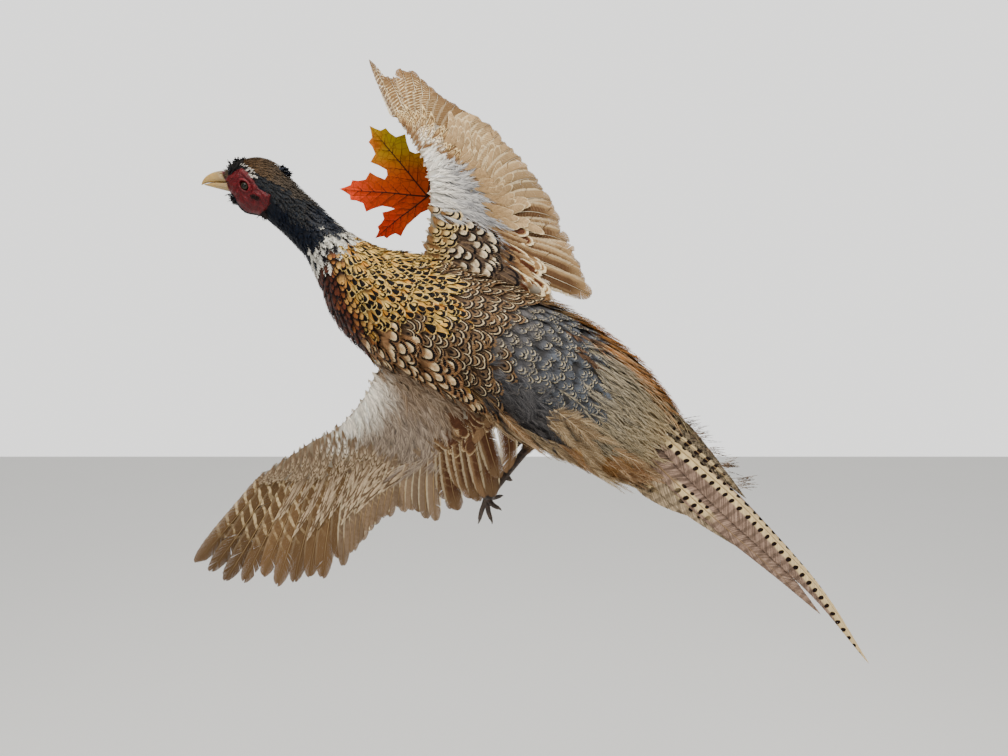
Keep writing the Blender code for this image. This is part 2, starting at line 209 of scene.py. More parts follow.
# ---- Maple leaf ------------------------------------------------------------------------------------
# A craft leaf cut from thin woven cloth, printed in autumn colours and pressed warm, so that its
# veins stand proud and its lobes curl. It is glued to the stem at the middle of its back.

LEAF_AT = np.array((-40, -52, 137)) * MM        # where the veins meet
LEAF_TILT = math.radians(8)                     # its top leans to the wall
# Lobes: direction in degrees from +X, length and half width in millimetres.
LEAF_LOBES = ((40, 66, 13), (83, 88, 17), (129, 96, 19), (175, 90, 17), (218, 68, 13))
LEAF_NOTCH = 0.5
LEAF_CELL = 0.9 * MM
LEAF_REACH = 90 * MM
CLOTH = 0.45 * MM
VEIN_WIDTH = 0.95 * MM


def smooth(rows, at):
    """A Catmull-Rom curve through evenly spaced rows, read at an array of places from 0 to the last."""
    rows = np.asarray(rows, float)
    last = len(rows) - 1
    padded = np.concatenate([2 * rows[:1] - rows[1:2], rows, 2 * rows[-1:] - rows[-2:-1]])
    at = np.asarray(at, float)
    index = np.clip(np.floor(at).astype(int), 0, last - 1)
    share = (at - index).reshape(at.shape + (1,) * (rows.ndim - 1))
    before, here, after, beyond = (padded[index + k] for k in range(4))
    return 0.5 * (2 * here + (after - before) * share
                  + (2 * before - 5 * here + 4 * after - beyond) * share ** 2
                  + (3 * here - before - 3 * after + beyond) * share ** 3)


def soft_step(values, start, end):
    share = np.clip((np.asarray(values, float) - start) / (end - start), 0, 1)
    return share * share * (3 - 2 * share)


def leaf_outline():
    """Round the leaf, lobe by lobe: a notch, side teeth, the tip, side teeth."""
    edge = ((0.5, 0.8), (0.6, 0.98), (0.68, 1.2), (0.72, 0.72), (0.8, 0.6), (0.865, 0.6), (0.88, 0.3),
            (0.94, 0.13))
    points = []
    for number, (degrees, length, half_width) in enumerate(LEAF_LOBES):
        angle = math.radians(degrees)
        way = np.array((math.cos(angle), math.sin(angle)))
        side = np.array((-way[1], way[0]))
        if number > 0:
            between = math.radians((degrees + LEAF_LOBES[number - 1][0]) / 2)
            reach = LEAF_NOTCH * (length + LEAF_LOBES[number - 1][1]) / 2
            points.append(np.array((math.cos(between), math.sin(between))) * reach)
        for forward, out in (*((f, -o) for f, o in edge), (1.0, 0.0), *reversed(edge)):
            points.append(way * length * forward + side * half_width * out)
    points.append(np.array((-0.1, -0.24)) * LEAF_LOBES[-1][1])
    points.append(np.array((0.24, -0.3)) * LEAF_LOBES[0][1] * 0.5)
    return np.array(points) * MM


def leaf_veins():
    """Segments of every vein: the five main ones, and pairs that leave them like a feather's barbs."""
    starts, ends, widths = [], [], []
    for degrees, length, half_width in LEAF_LOBES:
        angle = math.radians(degrees)
        way = np.array((math.cos(angle), math.sin(angle))) * MM
        starts.append(way * 0)
        ends.append(way * length * 0.96)
        widths.append(1.0)
        for share in (0.2, 0.34, 0.48, 0.62, 0.76):
            for side in (-1, 1):
                turned = angle + side * math.radians(42)
                root = way * length * (share + 0.02 * side)
                run = half_width * 1.5 * (1.15 - share)
                starts.append(root)
                ends.append(root + np.array((math.cos(turned), math.sin(turned))) * run * MM)
                widths.append(0.55)
    return np.array(starts), np.array(ends), np.array(widths)


def distance_to_veins(points):
    """For each point, how far the nearest vein is, as a share of that vein's own width."""
    nearest = np.full(len(points), 9.0)
    for start, end, width in zip(*leaf_veins()):
        run = end - start
        share = np.clip(((points - start) @ run) / (run @ run), 0, 1)
        gap = np.linalg.norm(points - start - share[:, None] * run, axis=1)
        taper = width * (1 - 0.6 * share)
        nearest = np.minimum(nearest, gap / (VEIN_WIDTH * taper))
    return nearest


def tell(mesh, label, values):
    """Gives each point of a mesh a number, a vector or a colour, which its finish can read."""
    values = np.asarray(values, np.float32).reshape(len(mesh.vertices), -1)
    kind, field = {1: ("FLOAT", "value"), 3: ("FLOAT_VECTOR", "vector"),
                   4: ("FLOAT_COLOR", "color")}[values.shape[1]]
    mesh.attributes.new(label, kind, "POINT").data.foreach_set(field, values.ravel())


def leaf_mesh():
    outline = leaf_outline()
    steps = 6
    border = np.concatenate([start + (end - start) * np.arange(steps)[:, None] / steps
                             for start, end in zip(outline, np.roll(outline, -1, 0))])
    low, high = outline.min(0), outline.max(0)
    across = np.arange(low[0], high[0], LEAF_CELL)
    up = np.arange(low[1], high[1], LEAF_CELL * 0.866)
    grid = np.array([(x + LEAF_CELL * 0.5 * (row % 2), z) for row, z in enumerate(up) for x in across])
    points = [tuple(point) for point in np.concatenate([border, grid])]
    edges = [(k, (k + 1) % len(border)) for k in range(len(border))]
    flat, _, faces, _, _, _ = delaunay_2d_cdt(points, edges, [], 1, 1e-7)
    flat = np.array([tuple(point) for point in flat])
    vein = distance_to_veins(flat)
    reach = np.linalg.norm(flat, axis=1)
    angle = np.arctan2(flat[:, 1], flat[:, 0])
    far = reach / LEAF_REACH
    curl = 3.2 * MM * far ** 2 * np.cos(angle * 5.2 + 0.6) + 1.5 * MM * np.sin(reach * 120)
    crease = 0.7 * MM * np.exp(-(vein * VEIN_WIDTH / (2.2 * MM)) ** 2)
    away = -curl * 0.7 + crease - 2.5 * MM * np.clip(far, 0, 1) ** 2
    upright, lean = math.cos(LEAF_TILT), math.sin(LEAF_TILT)
    points = np.stack([flat[:, 0], -away * upright + flat[:, 1] * lean,
                       flat[:, 1] * upright + away * lean], 1) + LEAF_AT
    mesh = bpy.data.meshes.new("leaf_cloth")
    mesh.from_pydata(points.tolist(), [], faces)
    tell(mesh, "vein", vein)
    tell(mesh, "flat", np.column_stack([flat / LEAF_REACH, far]))
    mesh.shade_smooth()
    return mesh


def printed_cloth():
    """Yellow-green at the top lobe, orange round the middle and red towards the left and below."""
    cloth = Finish("printed_cloth", Roughness=0.75, Specular_IOR_Level=0.15)
    across, up, reach = cloth.parts(cloth.attribute("flat", "Vector"))
    patches = cloth.noise(55, 4)
    warm = (across * -0.55 - up * 0.75 + patches * 0.9 - 0.45).rise(-0.55, 0.75)
    colour = cloth.mix((up - across * 0.3 + patches * 0.6 - 0.3).rise(0.2, 0.75), (0.5, 0.08, 0.001),
                       (0.36, 0.3, 0.0))
    colour = cloth.mix(warm, colour, (0.42, 0.018, 0.001))
    rosy = (across * -1.0 + patches * 0.3 - 0.15).rise(0.5, 0.95)
    colour = cloth.mix(rosy, colour, (0.8, 0.06, 0.012))
    shade = cloth.noise(18, 3).rise(0.45, 0.8) * 0.45
    colour = cloth.mix(shade, colour, (0.2, 0.02, 0.0))
    specks = cloth.noise(420, 2).rise(0.68, 0.74) * cloth.noise(40, 1).rise(0.45, 0.6)
    vein = 1 - cloth.attribute("vein").rise(0.55, 1.15)
    fade = 1 - reach.rise(0.75, 1.0) * 0.6
    marks = (vein * fade).math("MAXIMUM", vein * fade, specks * 0.7)
    cells = cloth.cells("DISTANCE_TO_EDGE", 150.0, Randomness=0.8)
    colour = cloth.mix((1 - cells.rise(0.03, 0.1)) * 0.4, colour, (0.09, 0.02, 0.002))
    cloth.feed(Base_Color=cloth.mix(marks, colour, (0.03, 0.008, 0.003)))
    weft, warp = (cloth.node("ShaderNodeTexWave", {"wave_type": "BANDS", "bands_direction": direction},
                             {"Vector": cloth.place(), "Scale": 420.0, "Distortion": 0.4})
                  for direction in "XZ")
    cloth.bump(weft + warp, 0.06 * MM)
    return cloth


def stand_piece(name, mesh, finish, replaced=()):
    """Adds a piece that rides on the whole model, and stands for the solids that it replaces."""
    made = bpy.data.objects.new(name, mesh)
    bpy.context.scene.collection.objects.link(made)
    mesh.materials.append(finish.material)
    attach(made, "root")
    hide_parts(*replaced)
    return made


def bake_modifiers(piece):
    """Makes a piece's modifiers part of its mesh."""
    graph = bpy.context.evaluated_depsgraph_get()
    shaped = bpy.data.meshes.new_from_object(piece.evaluated_get(graph))
    piece.modifiers.clear()
    piece.data = shaped


leaf = stand_piece("leaf_cloth", leaf_mesh(), printed_cloth(), ["leaf"])
sheet = leaf.modifiers.new("cloth", "SOLIDIFY")
sheet.thickness = CLOTH
sheet.offset = 0
bake_modifiers(leaf)

# ---- Skin ------------------------------------------------------------------------------------------
# The tanned skin of the bird over its stuffed form, in one piece from the bill to the tail root and
# out along both wings. Feathers hide it nearly everywhere: it shows bare and red round the eyes.

chance = np.random.default_rng(11)

# The body's line from bill to tail root: centre, half width, height above and below the line, and
# roll, which turns the back from facing the room (0) to facing up (90).
BODY = (
    ((-199, -170, 132), 7.5, 9.5, 9.0, 90),         # bill's base
    ((-190.5, -170, 132), 12, 18.5, 19, 90),        # forehead and chin
    ((-180, -170, 130), 15, 24.5, 24.5, 90),        # crown, eye and wattle
    ((-169, -170, 126.5), 16, 25, 24, 88),          # ear
    ((-158, -170, 119), 16.5, 21.5, 21.5, 86),      # nape
    ((-147, -169, 109), 17, 20.5, 20.5, 82),
    ((-135, -168, 98), 18, 21, 21, 75),
    ((-119, -165, 81), 21, 23, 23, 64),             # white collar
    ((-103, -160, 62), 30, 32, 32, 50),
    ((-80, -155, 40), 46, 44, 50, 38),              # shoulders
    ((-47, -150, 21), 57, 50, 60, 31),              # deepest breast
    ((-11, -147, 6), 60, 50, 62, 29),
    ((34, -145, -12), 63, 47, 58, 27),
    ((80, -143, -37), 66, 42, 50, 25),              # hips
    ((122, -139, -62), 61, 30, 36, 22),
    ((156, -133, -87), 53, 19, 24, 19),             # rump
    ((182, -127, -106), 41, 10, 13, 16),            # tail root
    ((208, -121, -124), 30, 7, 8, 14),              # the coat alone runs on over the tail
    ((236, -115, -143), 20, 5, 5, 13),
)
TAIL_ROOT = 16
OUTWARD = np.array((0.0, -1.0, 0.0))                # from the wall to the room
body_centres = np.array([row[0] for row in BODY]) * MM
body_sizes = np.array([row[1:] for row in BODY], float)
# How thick the coat is at each of those places.
COAT_DEPTH = np.array((0.6, 0.9, 1.1, 1.4, 2, 2.6, 3, 3.6, 4.5, 5.5, 6, 6, 6, 6, 5.5, 4.5, 3, 2, 1)) * MM


def unit(vectors):
    return vectors / np.maximum(np.linalg.norm(vectors, axis=-1, keepdims=True), 1e-12)


def body_point(at, angle, height=0.0):
    """The skin at a place along the body and an angle round it: 0 is its left, a quarter turn its back."""
    step = 0.05
    centre = smooth(body_centres, at)
    tangent = unit(smooth(body_centres, at + step) - smooth(body_centres, at - step))
    half_width, above, below, roll = np.moveaxis(smooth(body_sizes, at), -1, 0)
    room = unit(OUTWARD - tangent * (tangent @ OUTWARD)[..., None])
    upwards = np.cross(room, tangent)
    roll = np.radians(roll)[..., None]
    back = np.cos(roll) * room + np.sin(roll) * upwards
    left = np.sin(roll) * room - np.cos(roll) * upwards
    depth = smooth(COAT_DEPTH, at)
    tall = np.where(np.sin(angle) > 0, above, below) * MM - depth + height
    wide = half_width * MM - depth + height
    return centre + left * (wide * np.cos(angle))[..., None] + back * (tall * np.sin(angle))[..., None]


# Each wing is drawn by its leading edge, the line where its coverts end, and the feather tips.
WINGS = {
    "right": (
        ((-38, -146, 74), (-29, -157, 108), (-33, -150, 148), (-47, -130, 176), (-62, -106, 202)),
        ((76, -130, 38), (54, -118, 83), (31, -108, 135), (-6, -100, 180), (-38, -95, 207),
         (-65, -97, 210)),
        ((125, -112, 36), (107, -107, 76), (80, -97, 134), (40, -82, 187), (14, -73, 211),
         (-21, -62, 232), (-60, -50, 264), (-106, -40, 279)),
    ),
    "left": (
        ((-74, -172, -22), (-84, -182, -48), (-105, -182, -74), (-141, -180, -96), (-177, -176, -122)),
        ((29, -162, -72), (-7, -163, -98), (-43, -160, -114), (-91, -160, -121), (-138, -161, -130),
         (-181, -170, -131)),
        ((44, -140, -138), (13, -138, -168), (-21, -140, -180), (-54, -148, -164), (-88, -154, -182),
         (-116, -155, -223), (-152, -155, -235), (-205, -155, -235), (-258, -155, -212)),
    ),
}
ARM_THICKNESS = 13 * MM
HAND_THICKNESS = 5 * MM
SHOULDER_SWELL = 4.5 * MM                           # how much thicker the arm is where it meets the trunk
COVERT_EDGE = 1.6 * MM
WING_COAT = 2.2 * MM
OVER, UNDER = 1, -1                                 # the face that shows, and the one to the wall


def wing_lines(wing, share):
    """The leading edge, the coverts' edge and the tips; a share below 0 lies inside the body."""
    held = np.clip(share, 0, 1)
    inward = np.minimum(share, 0)[..., None]
    lines = []
    for line in WINGS[wing]:
        line = np.array(line) * MM
        lines.append(smooth(line, held * (len(line) - 1)) + inward * (line[1] - line[0]) * (len(line) - 1))
    return lines


def wing_normal(wing, share):
    leading, _, tips = wing_lines(wing, share)
    middle = [sum(wing_lines(wing, np.clip(share + step, 0, 1))[:2]) for step in (-0.02, 0.02)]
    normal = unit(np.cross(middle[1] - middle[0], tips - leading))
    return normal * np.sign(normal @ OUTWARD)[..., None]


def wing_point(wing, face, run, share, height=0.0):
    """A wing's skin: run is 0 at the leading edge, 1 where the coverts end and 2 at the tips."""
    leading, coverts, tips = wing_lines(wing, share)
    normal = wing_normal(wing, share)
    chord = np.clip(run, 0, 1)
    thickness = ARM_THICKNESS + (HAND_THICKNESS - ARM_THICKNESS) * np.clip(share, 0, 1)
    if face == OVER:
        thickness = thickness + SHOULDER_SWELL * (1 - soft_step(share, -0.05, 0.2))
    round_front = np.clip(np.sqrt(np.clip(chord, 0, 1)) * 1.9, 0, 1)
    half = np.maximum(thickness / 2 * round_front * (1 - chord ** 1.5), COVERT_EDGE / 2)
    half = half * (1.2 if face == OVER else 0.8) - WING_COAT * 0.6
    beyond = np.maximum(run - 1, 0)
    arch = 3 * MM * 4 * beyond * (1 - beyond)
    point = leading + (coverts - leading) * np.minimum(run, 1)[..., None] \
        + (tips - coverts) * beyond[..., None]
    return point + normal * (face * (np.maximum(half, 0.2 * MM) + height) + arch)[..., None]


def gradients(surface, a, b):
    """How far a surface moves, in metres, for one unit of each of its two places."""
    step = 0.02
    along = (surface(a + step, b) - surface(a - step, b)) / (2 * step)
    around = (surface(a, b + step) - surface(a, b - step)) / (2 * step)
    return along, around


# Eyes: the face is drawn round them, in millimetres back and up from the eye's centre.
EYE_CENTRE = np.array((-181.5, -170, 127.5)) * MM
EYE_SPREAD = 10.6 * MM
EYE_RADIUS = 4.4 * MM
EYE_SLANT = math.radians(-52)                       # the opening droops backwards
EYE_LONG, EYE_SHORT = 1.2, 0.82                     # the opening's length and height, against a round one
FACE = ((-19, 6.5), (-13, 10), (-4.6, 16), (2.5, 10.5), (7.5, 4), (12, -3), (17, -5.6), (22, -8),
        (20, -15), (14.5, -21), (10, -24.5), (1, -23.5), (-4.5, -19.5), (-9, -14.5), (-10.5, -8.5),
        (-16.5, -2.5))
HEAD_MIDDLE = 5 * MM                                # nearer to the head's middle than this is not its side
HEAD_END = -150 * MM                                # the head lies before this, towards the bill


def inside(polygon, x, y):
    """How far inside a closed outline each point is, negative outside."""
    corners = np.array(polygon, float)
    points = np.stack([x, y], -1)
    gap = np.full(x.shape, 1e9)
    odd = np.zeros(x.shape, bool)
    for start, end in zip(corners, np.roll(corners, -1, 0)):
        run = end - start
        share = np.clip(((points - start) @ run) / (run @ run), 0, 1)
        gap = np.minimum(gap, np.linalg.norm(points - start - share[..., None] * run, axis=-1))
        crosses = (start[1] > y) != (end[1] > y)
        with np.errstate(divide="ignore", invalid="ignore"):
            at = start[0] + (y - start[1]) * run[0] / run[1]
        odd ^= crosses & (x < at)
    return np.where(odd, gap, -gap)


def face_depth(points):
    """How far inside the bare face each point of the head is, in millimetres."""
    back, up = ((points - EYE_CENTRE) / MM)[..., 0], ((points - EYE_CENTRE) / MM)[..., 2]
    return inside(FACE, back, up)


def on_side(points):
    """Which points of the head are on its left or its right, not along its middle."""
    return np.abs(points[:, 1] - EYE_CENTRE[1]) > HEAD_MIDDLE


def eye_opening(back, up):
    """How far a place is from the eye's centre, so that the opening is round, and how far above it."""
    turned = back * math.cos(EYE_SLANT) + up * math.sin(EYE_SLANT)
    square = -back * math.sin(EYE_SLANT) + up * math.cos(EYE_SLANT)
    return np.hypot(turned / EYE_LONG, square / EYE_SHORT), square


def flesh_form(names, grow):
    """The solids of flesh, welded, grown a little so that they meet, as one mesh."""
    vertices, faces = [], []
    for name in names:
        shape = bmesh.new()
        shape.from_mesh(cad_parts[name].data)
        bmesh.ops.remove_doubles(shape, verts=shape.verts, dist=1e-6)
        shape.normal_update()
        first = len(vertices)
        vertices += [vertex.co + vertex.normal * grow for vertex in shape.verts]
        faces += [[vertex.index + first for vertex in face.verts] for face in shape.faces]
        shape.free()
    mesh = bpy.data.meshes.new("skin")
    mesh.from_pydata(vertices, [], faces)
    return mesh


FLESH = ["head", "neck", "trunk", "rump", "thigh_left", "thigh_right", "wing_left_arm",
         "wing_right_arm"]
SKIN_GROW = 0.8 * MM
SKIN_CELL = 2.2 * MM


def coordinates(mesh, kind="co"):
    """Where every point of a mesh is, or which way it faces."""
    values = np.zeros(len(mesh.vertices) * 3, np.float32)
    mesh.vertices.foreach_get(kind, values)
    return values.reshape(-1, 3).astype(float)


def wrinkles(back, up):
    """Crossing folds of the bare face, from -1 in the valleys to 1 on the ridges."""
    return np.sin(up * 0.75 + np.sin(back * 0.4) * 2.0) * np.sin(back * 0.55 + up * 0.2)


def shape_face(points):
    """Lids, brow and folds of the bare face, on both sides of the head."""
    side = np.sign(points[:, 1] - EYE_CENTRE[1])
    out = np.abs(points[:, 1] - EYE_CENTRE[1])
    back = (points[:, 0] - EYE_CENTRE[0]) / MM
    up = (points[:, 2] - EYE_CENTRE[2]) / MM
    opening, square = eye_opening(back, up)
    near = (out > 6 * MM) & (opening < 9)
    lid = EYE_SPREAD + EYE_RADIUS * 0.93
    ring = soft_step(opening, 3.35, 3.75)
    bulge = np.exp(-((opening - 4.5) / 0.75) ** 2) * (0.55 + 0.75 * (square > 0))
    fold = np.exp(-((opening - 6.3) / 0.6) ** 2) * -0.45
    hollow = EYE_SPREAD * 0.7
    blend = soft_step(opening, 4.6, 8.5)
    shaped = (lid + (bulge + fold) * MM) * (1 - blend) + (out + fold * MM) * blend
    shaped = hollow * (1 - ring) + shaped * ring
    out = np.where(near, shaped, out)
    depth = face_depth(points)
    on_face = soft_step(depth, -0.5, 2.0) * (out > HEAD_MIDDLE)
    rough = wrinkles(back, up) * 0.5 * MM * soft_step(opening, 6, 9)
    swell = 0.9 * MM * soft_step(depth, 0, 5) * soft_step(opening, 6, 11)
    out = out + on_face * (rough + swell)
    shaped_points = points.copy()
    shaped_points[:, 1] = EYE_CENTRE[1] + side * out
    return shaped_points


def make_skin():
    skin = stand_piece("skin", flesh_form(FLESH, SKIN_GROW), bare_skin(), FLESH)
    remesh = skin.modifiers.new("one_skin", "REMESH")
    remesh.mode = "VOXEL"
    remesh.voxel_size = SKIN_CELL
    relax = skin.modifiers.new("relax", "SMOOTH")
    relax.factor = 0.5
    relax.iterations = 4
    bake_modifiers(skin)
    shape = bmesh.new()
    shape.from_mesh(skin.data)
    for _ in range(2):
        centres = np.array([face.calc_center_median() for face in shape.faces])
        chosen = (face_depth(centres) > -2.5) & on_side(centres) & (centres[:, 0] < HEAD_END)
        edges = {edge for face, hit in zip(list(shape.faces), chosen) if hit for edge in face.edges}
        bmesh.ops.subdivide_edges(shape, edges=list(edges), cuts=1, use_grid_fill=True, smooth=0.4)
    bmesh.ops.triangulate(shape, faces=[face for face in shape.faces if len(face.verts) > 4])
    shape.normal_update()
    points = np.array([vertex.co for vertex in shape.verts])
    normals = np.array([vertex.normal for vertex in shape.verts])
    depth = smooth(COAT_DEPTH, nearest_station(points))
    depth = np.where(on_wing(points), WING_COAT * 0.5, depth)
    depth = depth * (1 - soft_step(face_depth(points), -1.5, 0.5) * (points[:, 0] < HEAD_END))
    points = shape_face(points - normals * (depth + SKIN_GROW * 0.8)[:, None])
    for vertex, point in zip(shape.verts, points):
        vertex.co = point
    shape.to_mesh(skin.data)
    shape.free()
    skin.data.shade_smooth()
    return skin


def nearest_station(points):
    """The place along the body's line that is nearest to each point."""
    places = np.linspace(0, TAIL_ROOT, 161)
    line = smooth(body_centres, places)
    return places[np.argmin(((points[:, None, :] - line[None]) ** 2).sum(-1), 1)]


def on_wing(points):
    """Which points of the skin lie outside the trunk's own form."""
    at = nearest_station(points)
    centre = smooth(body_centres, at)
    widest = smooth(body_sizes[:, :3], at).max(-1) * MM
    return np.linalg.norm(points - centre, axis=1) > widest + 4 * MM


def bare_skin():
    """Crimson, warty skin on the face, with painted highlight and shade on its warts, folds and lids, and
    elsewhere dull skin in each feather tract's colour, darkened as painted shade between the feathers.
    """
    skin = Finish("bare_skin", Roughness=0.5, Specular_IOR_Level=0.25, Subsurface_Weight=0.08,
                  Subsurface_Scale=1.5 * MM)
    face = skin.attribute("bare")
    warts = skin.cells("F1", 1150.0)
    patches = skin.noise(160, 3)
    # Lighter red on the warts' tops and darker red in the hollows between them, where the bump is low:
    # painted highlight and shade.
    red = skin.mix(warts.rise(0.15, 0.8), (0.12, 0.0008, 0.003), (0.045, 0.0005, 0.002))
    red = skin.mix(patches.rise(0.5, 0.75) * 0.5, red, (0.05, 0.003, 0.006))
    # Lighter red along the folds' ridges and darker red in their valleys: painted highlight and shade.
    fold = skin.attribute("fold")
    red = skin.mix(fold.rise(0.2, 1.0) * 0.4, red, (0.16, 0.004, 0.007))
    red = skin.mix(fold.rise(-0.2, -1.0) * 0.4, red, (0.035, 0.0008, 0.002))
    # The lids, the upper one most, are painted a lighter red: a painted highlight along the lids' ridge.
    red = skin.mix(skin.attribute("lid") * 0.7, red, (0.19, 0.009, 0.014))
    skin.feed(Base_Color=skin.mix(face, skin.attribute("tract", "Color"), red),
              Roughness=0.75 - face * 0.33)
    skin.bump((1 - warts) * face + patches * 0.4, 0.35 * MM)
    return skin


skin = make_skin()

# ---- Feather tracts --------------------------------------------------------------------------------
# Feathers grow in rows, staggered like tiles, from small on the head to large on the back. Each has a
# root on the skin and a tract, which gives its shape and marking.

PITCH = np.array((1.5, 1.6, 1.7, 1.85, 2.1, 2.4, 2.6, 3.7, 4.7, 5.3, 6.0, 6.6, 6.4, 6.2, 5.6, 5.2, 5, 5,
                  5)) * MM                          # from row to row, at each place along the body
COAT_START, COAT_END = 0.22, 16.6
FEATHER_ROWS = 7                                    # points along a feather's shaft


def scatter_body():
    """Roots over the whole body: place along it, angle round it, and pitch."""
    rows = []
    place, row = COAT_START, 0
    while place < COAT_END:
        gap = float(smooth(PITCH, place))
        loop = body_point(np.full(49, place), np.linspace(0, 2 * math.pi, 49))
        count = int(np.linalg.norm(np.diff(loop, axis=0), axis=1).sum() / gap / 0.86)
        stagger = 0.5 * (row % 2) + chance.uniform(-0.25, 0.25, count)
        angle = (np.arange(count) + stagger) / count * 2 * math.pi
        at = place + chance.uniform(-0.3, 0.3, count) * gap / (18 * MM)
        rows.append(np.stack([at, angle, np.full(count, gap)]))
        step = smooth(body_centres, place + 0.1) - smooth(body_centres, place)
        place += 0.1 * gap / max(np.linalg.norm(step), 1 * MM)
        row += 1
    return np.concatenate(rows, 1)


at, angle, pitch = scatter_body()
at = np.maximum(at, COAT_START)
roots = body_point(at, angle)
turn = 90 - np.degrees(angle)                       # from the middle of the back: left is positive
turn = (turn + 180) % 360 - 180
where = at + chance.normal(0, 0.13, len(at))
about = np.abs(turn) + chance.normal(0, 6, len(at))
wave = 0.25 * np.sin(np.radians(turn) * 3 + 1)
blurred = where + chance.normal(0, 0.22, len(at))

# Where each tract lies, by place along the body and degrees from the middle of the back. A later line
# takes from an earlier one.
tract = np.full(len(at), "vent", dtype="<U10")
tract[(about < 100) & (where > 13.2)] = "rump"
tract[(about < 62) & (where > 10.7) & (blurred <= 13.3 + wave)] = "saddle"
tract[(about > 56 - 10 * (turn > 0)) & (about < 132) & (where > 11.2) & (where < 15.3)] = "flank"
tract[(where > 7.2) & (where < 11.3) & (about > 26)] = "breast"
mantle_edge = 42 + 9 * (where - 7.2)                # how far round the back the mantle reaches, in degrees
tract[(where > 7.2) & (where <= 10.7 + wave) & (about < mantle_edge)] = "mantle"
tract[(where > 9.6) & (where <= 11.8) & (about > 30) & (about < 66)] = "scapular"
tract[(where > 6.7 + wave * 0.4) & (where <= 7.28 + wave * 0.4)] = "collar"
tract[where <= 6.7 + wave * 0.4] = "neck"
tract[(blurred > 10.5 + wave) & (blurred < 11.35) & (about < 66)] = "scapular"
tract[(where > 15.5) & (turn > -84) & (turn < 104)] = "quills"
tract[(turn > 48 + 14 * (where - 10) ** 2) & (turn < 122) & (where > 9.3) & (where < 12.3)] = "shoulder"
on_head = at < 5.3
head_back = ((roots - EYE_CENTRE) / MM)[:, 0]
head_up = ((roots - EYE_CENTRE) / MM)[:, 2]
off_face = -inside(FACE, head_back, head_up)        # how far outside the bare face, in millimetres
bare = (off_face < 0.4) & on_side(roots)
crown = on_head & (head_up > 6 - 0.55 * head_back + chance.normal(0, 1.2, len(at))) & (head_back > -9)
nape = (at < 6.2) & (head_back > 11)
nape &= head_up > 9 - 0.85 * head_back + chance.normal(0, 2.5, len(at))
nape &= head_back + chance.normal(0, 3, len(at)) < 50
tract[(on_head & crown) | nape] = "crown"
tract[on_head & bare] = "face"


def gradient(share, *colours):
    """Colours blended in order by a share from 0 to 1."""
    return np.stack([np.interp(share, np.linspace(0, 1, len(colours)), column)
                     for column in zip(*colours)], -1)


def vary(colours, amount):
    """Each feather's own colour, a little lighter or darker than its neighbours'."""
    return np.clip(colours * (1 + chance.normal(0, amount, len(colours)))[:, None], 0.001, 1)


tint = np.zeros((len(at), 3))
GROUND = {
    "neck": (0.006, 0.007, 0.011), "collar": (0.58, 0.55, 0.47), "mantle": (0.6, 0.37, 0.13),
    "scapular": (0.33, 0.2, 0.09), "saddle": (0.19, 0.15, 0.105), "breast": (0.15, 0.05, 0.022),
    "rump": (0.22, 0.19, 0.13), "flank": (0.24, 0.14, 0.065), "vent": (0.07, 0.035, 0.018),
    "quills": (0.4, 0.26, 0.15), "crown": (0.11, 0.075, 0.045), "face": (0.25, 0.02, 0.02),
    "shoulder": (0.26, 0.115, 0.04),
}
for name, colour in GROUND.items():
    tint[tract == name] = colour

# ---- Body feathers ---------------------------------------------------------------------------------
# A feather is a shaft with barbs on both sides, which lie in flat bundles side by side and come apart
# towards the edge. Each overlaps the ones behind it, with its tip clear of the skin.


BAKE_PATCH = 0.003                                  # how much of the baked sheet one feather takes


def lay(surface, a, b, heading, length, low, high, rows=FEATHER_ROWS, bend=0.0):
    """Centre lines, sides and normals of feathers along a surface, from their roots."""
    along, around = gradients(surface, a, b)
    scale_a = 1 / np.maximum(np.linalg.norm(along, axis=-1), 1e-5)
    scale_b = 1 / np.maximum(np.linalg.norm(around, axis=-1), 1e-5)
    share = np.linspace(0, 1, rows)
    run = np.asarray(length)[:, None] * share
    turned = heading[:, None] + np.asarray(bend).reshape(-1, 1) * share
    places = a[:, None] + run * np.cos(turned) * scale_a[:, None]
    others = b[:, None] + run * np.sin(turned) * scale_b[:, None]
    low, high = np.broadcast_to(low, a.shape), np.broadcast_to(high, a.shape)
    height = low[:, None] + (high - low)[:, None] * share ** 1.2
    centre = surface(places, others, height)
    lifted = surface(places, others, height + 1 * MM)
    tangent = unit(np.gradient(centre, axis=1))
    side = unit(np.cross(lifted - centre, tangent))
    return centre, side, np.cross(tangent, side)


def profile(share, widest, base, point):
    """A vane's half width along its shaft, as a share of its widest."""
    tip = np.clip((share - widest) / (1 - widest), 0, 1)
    widening = np.sin(np.clip(share / widest, 0, 1) * math.pi / 2)
    return np.where(share < widest, base + (1 - base) * widening, (1 - tip ** point) ** (1 / point))


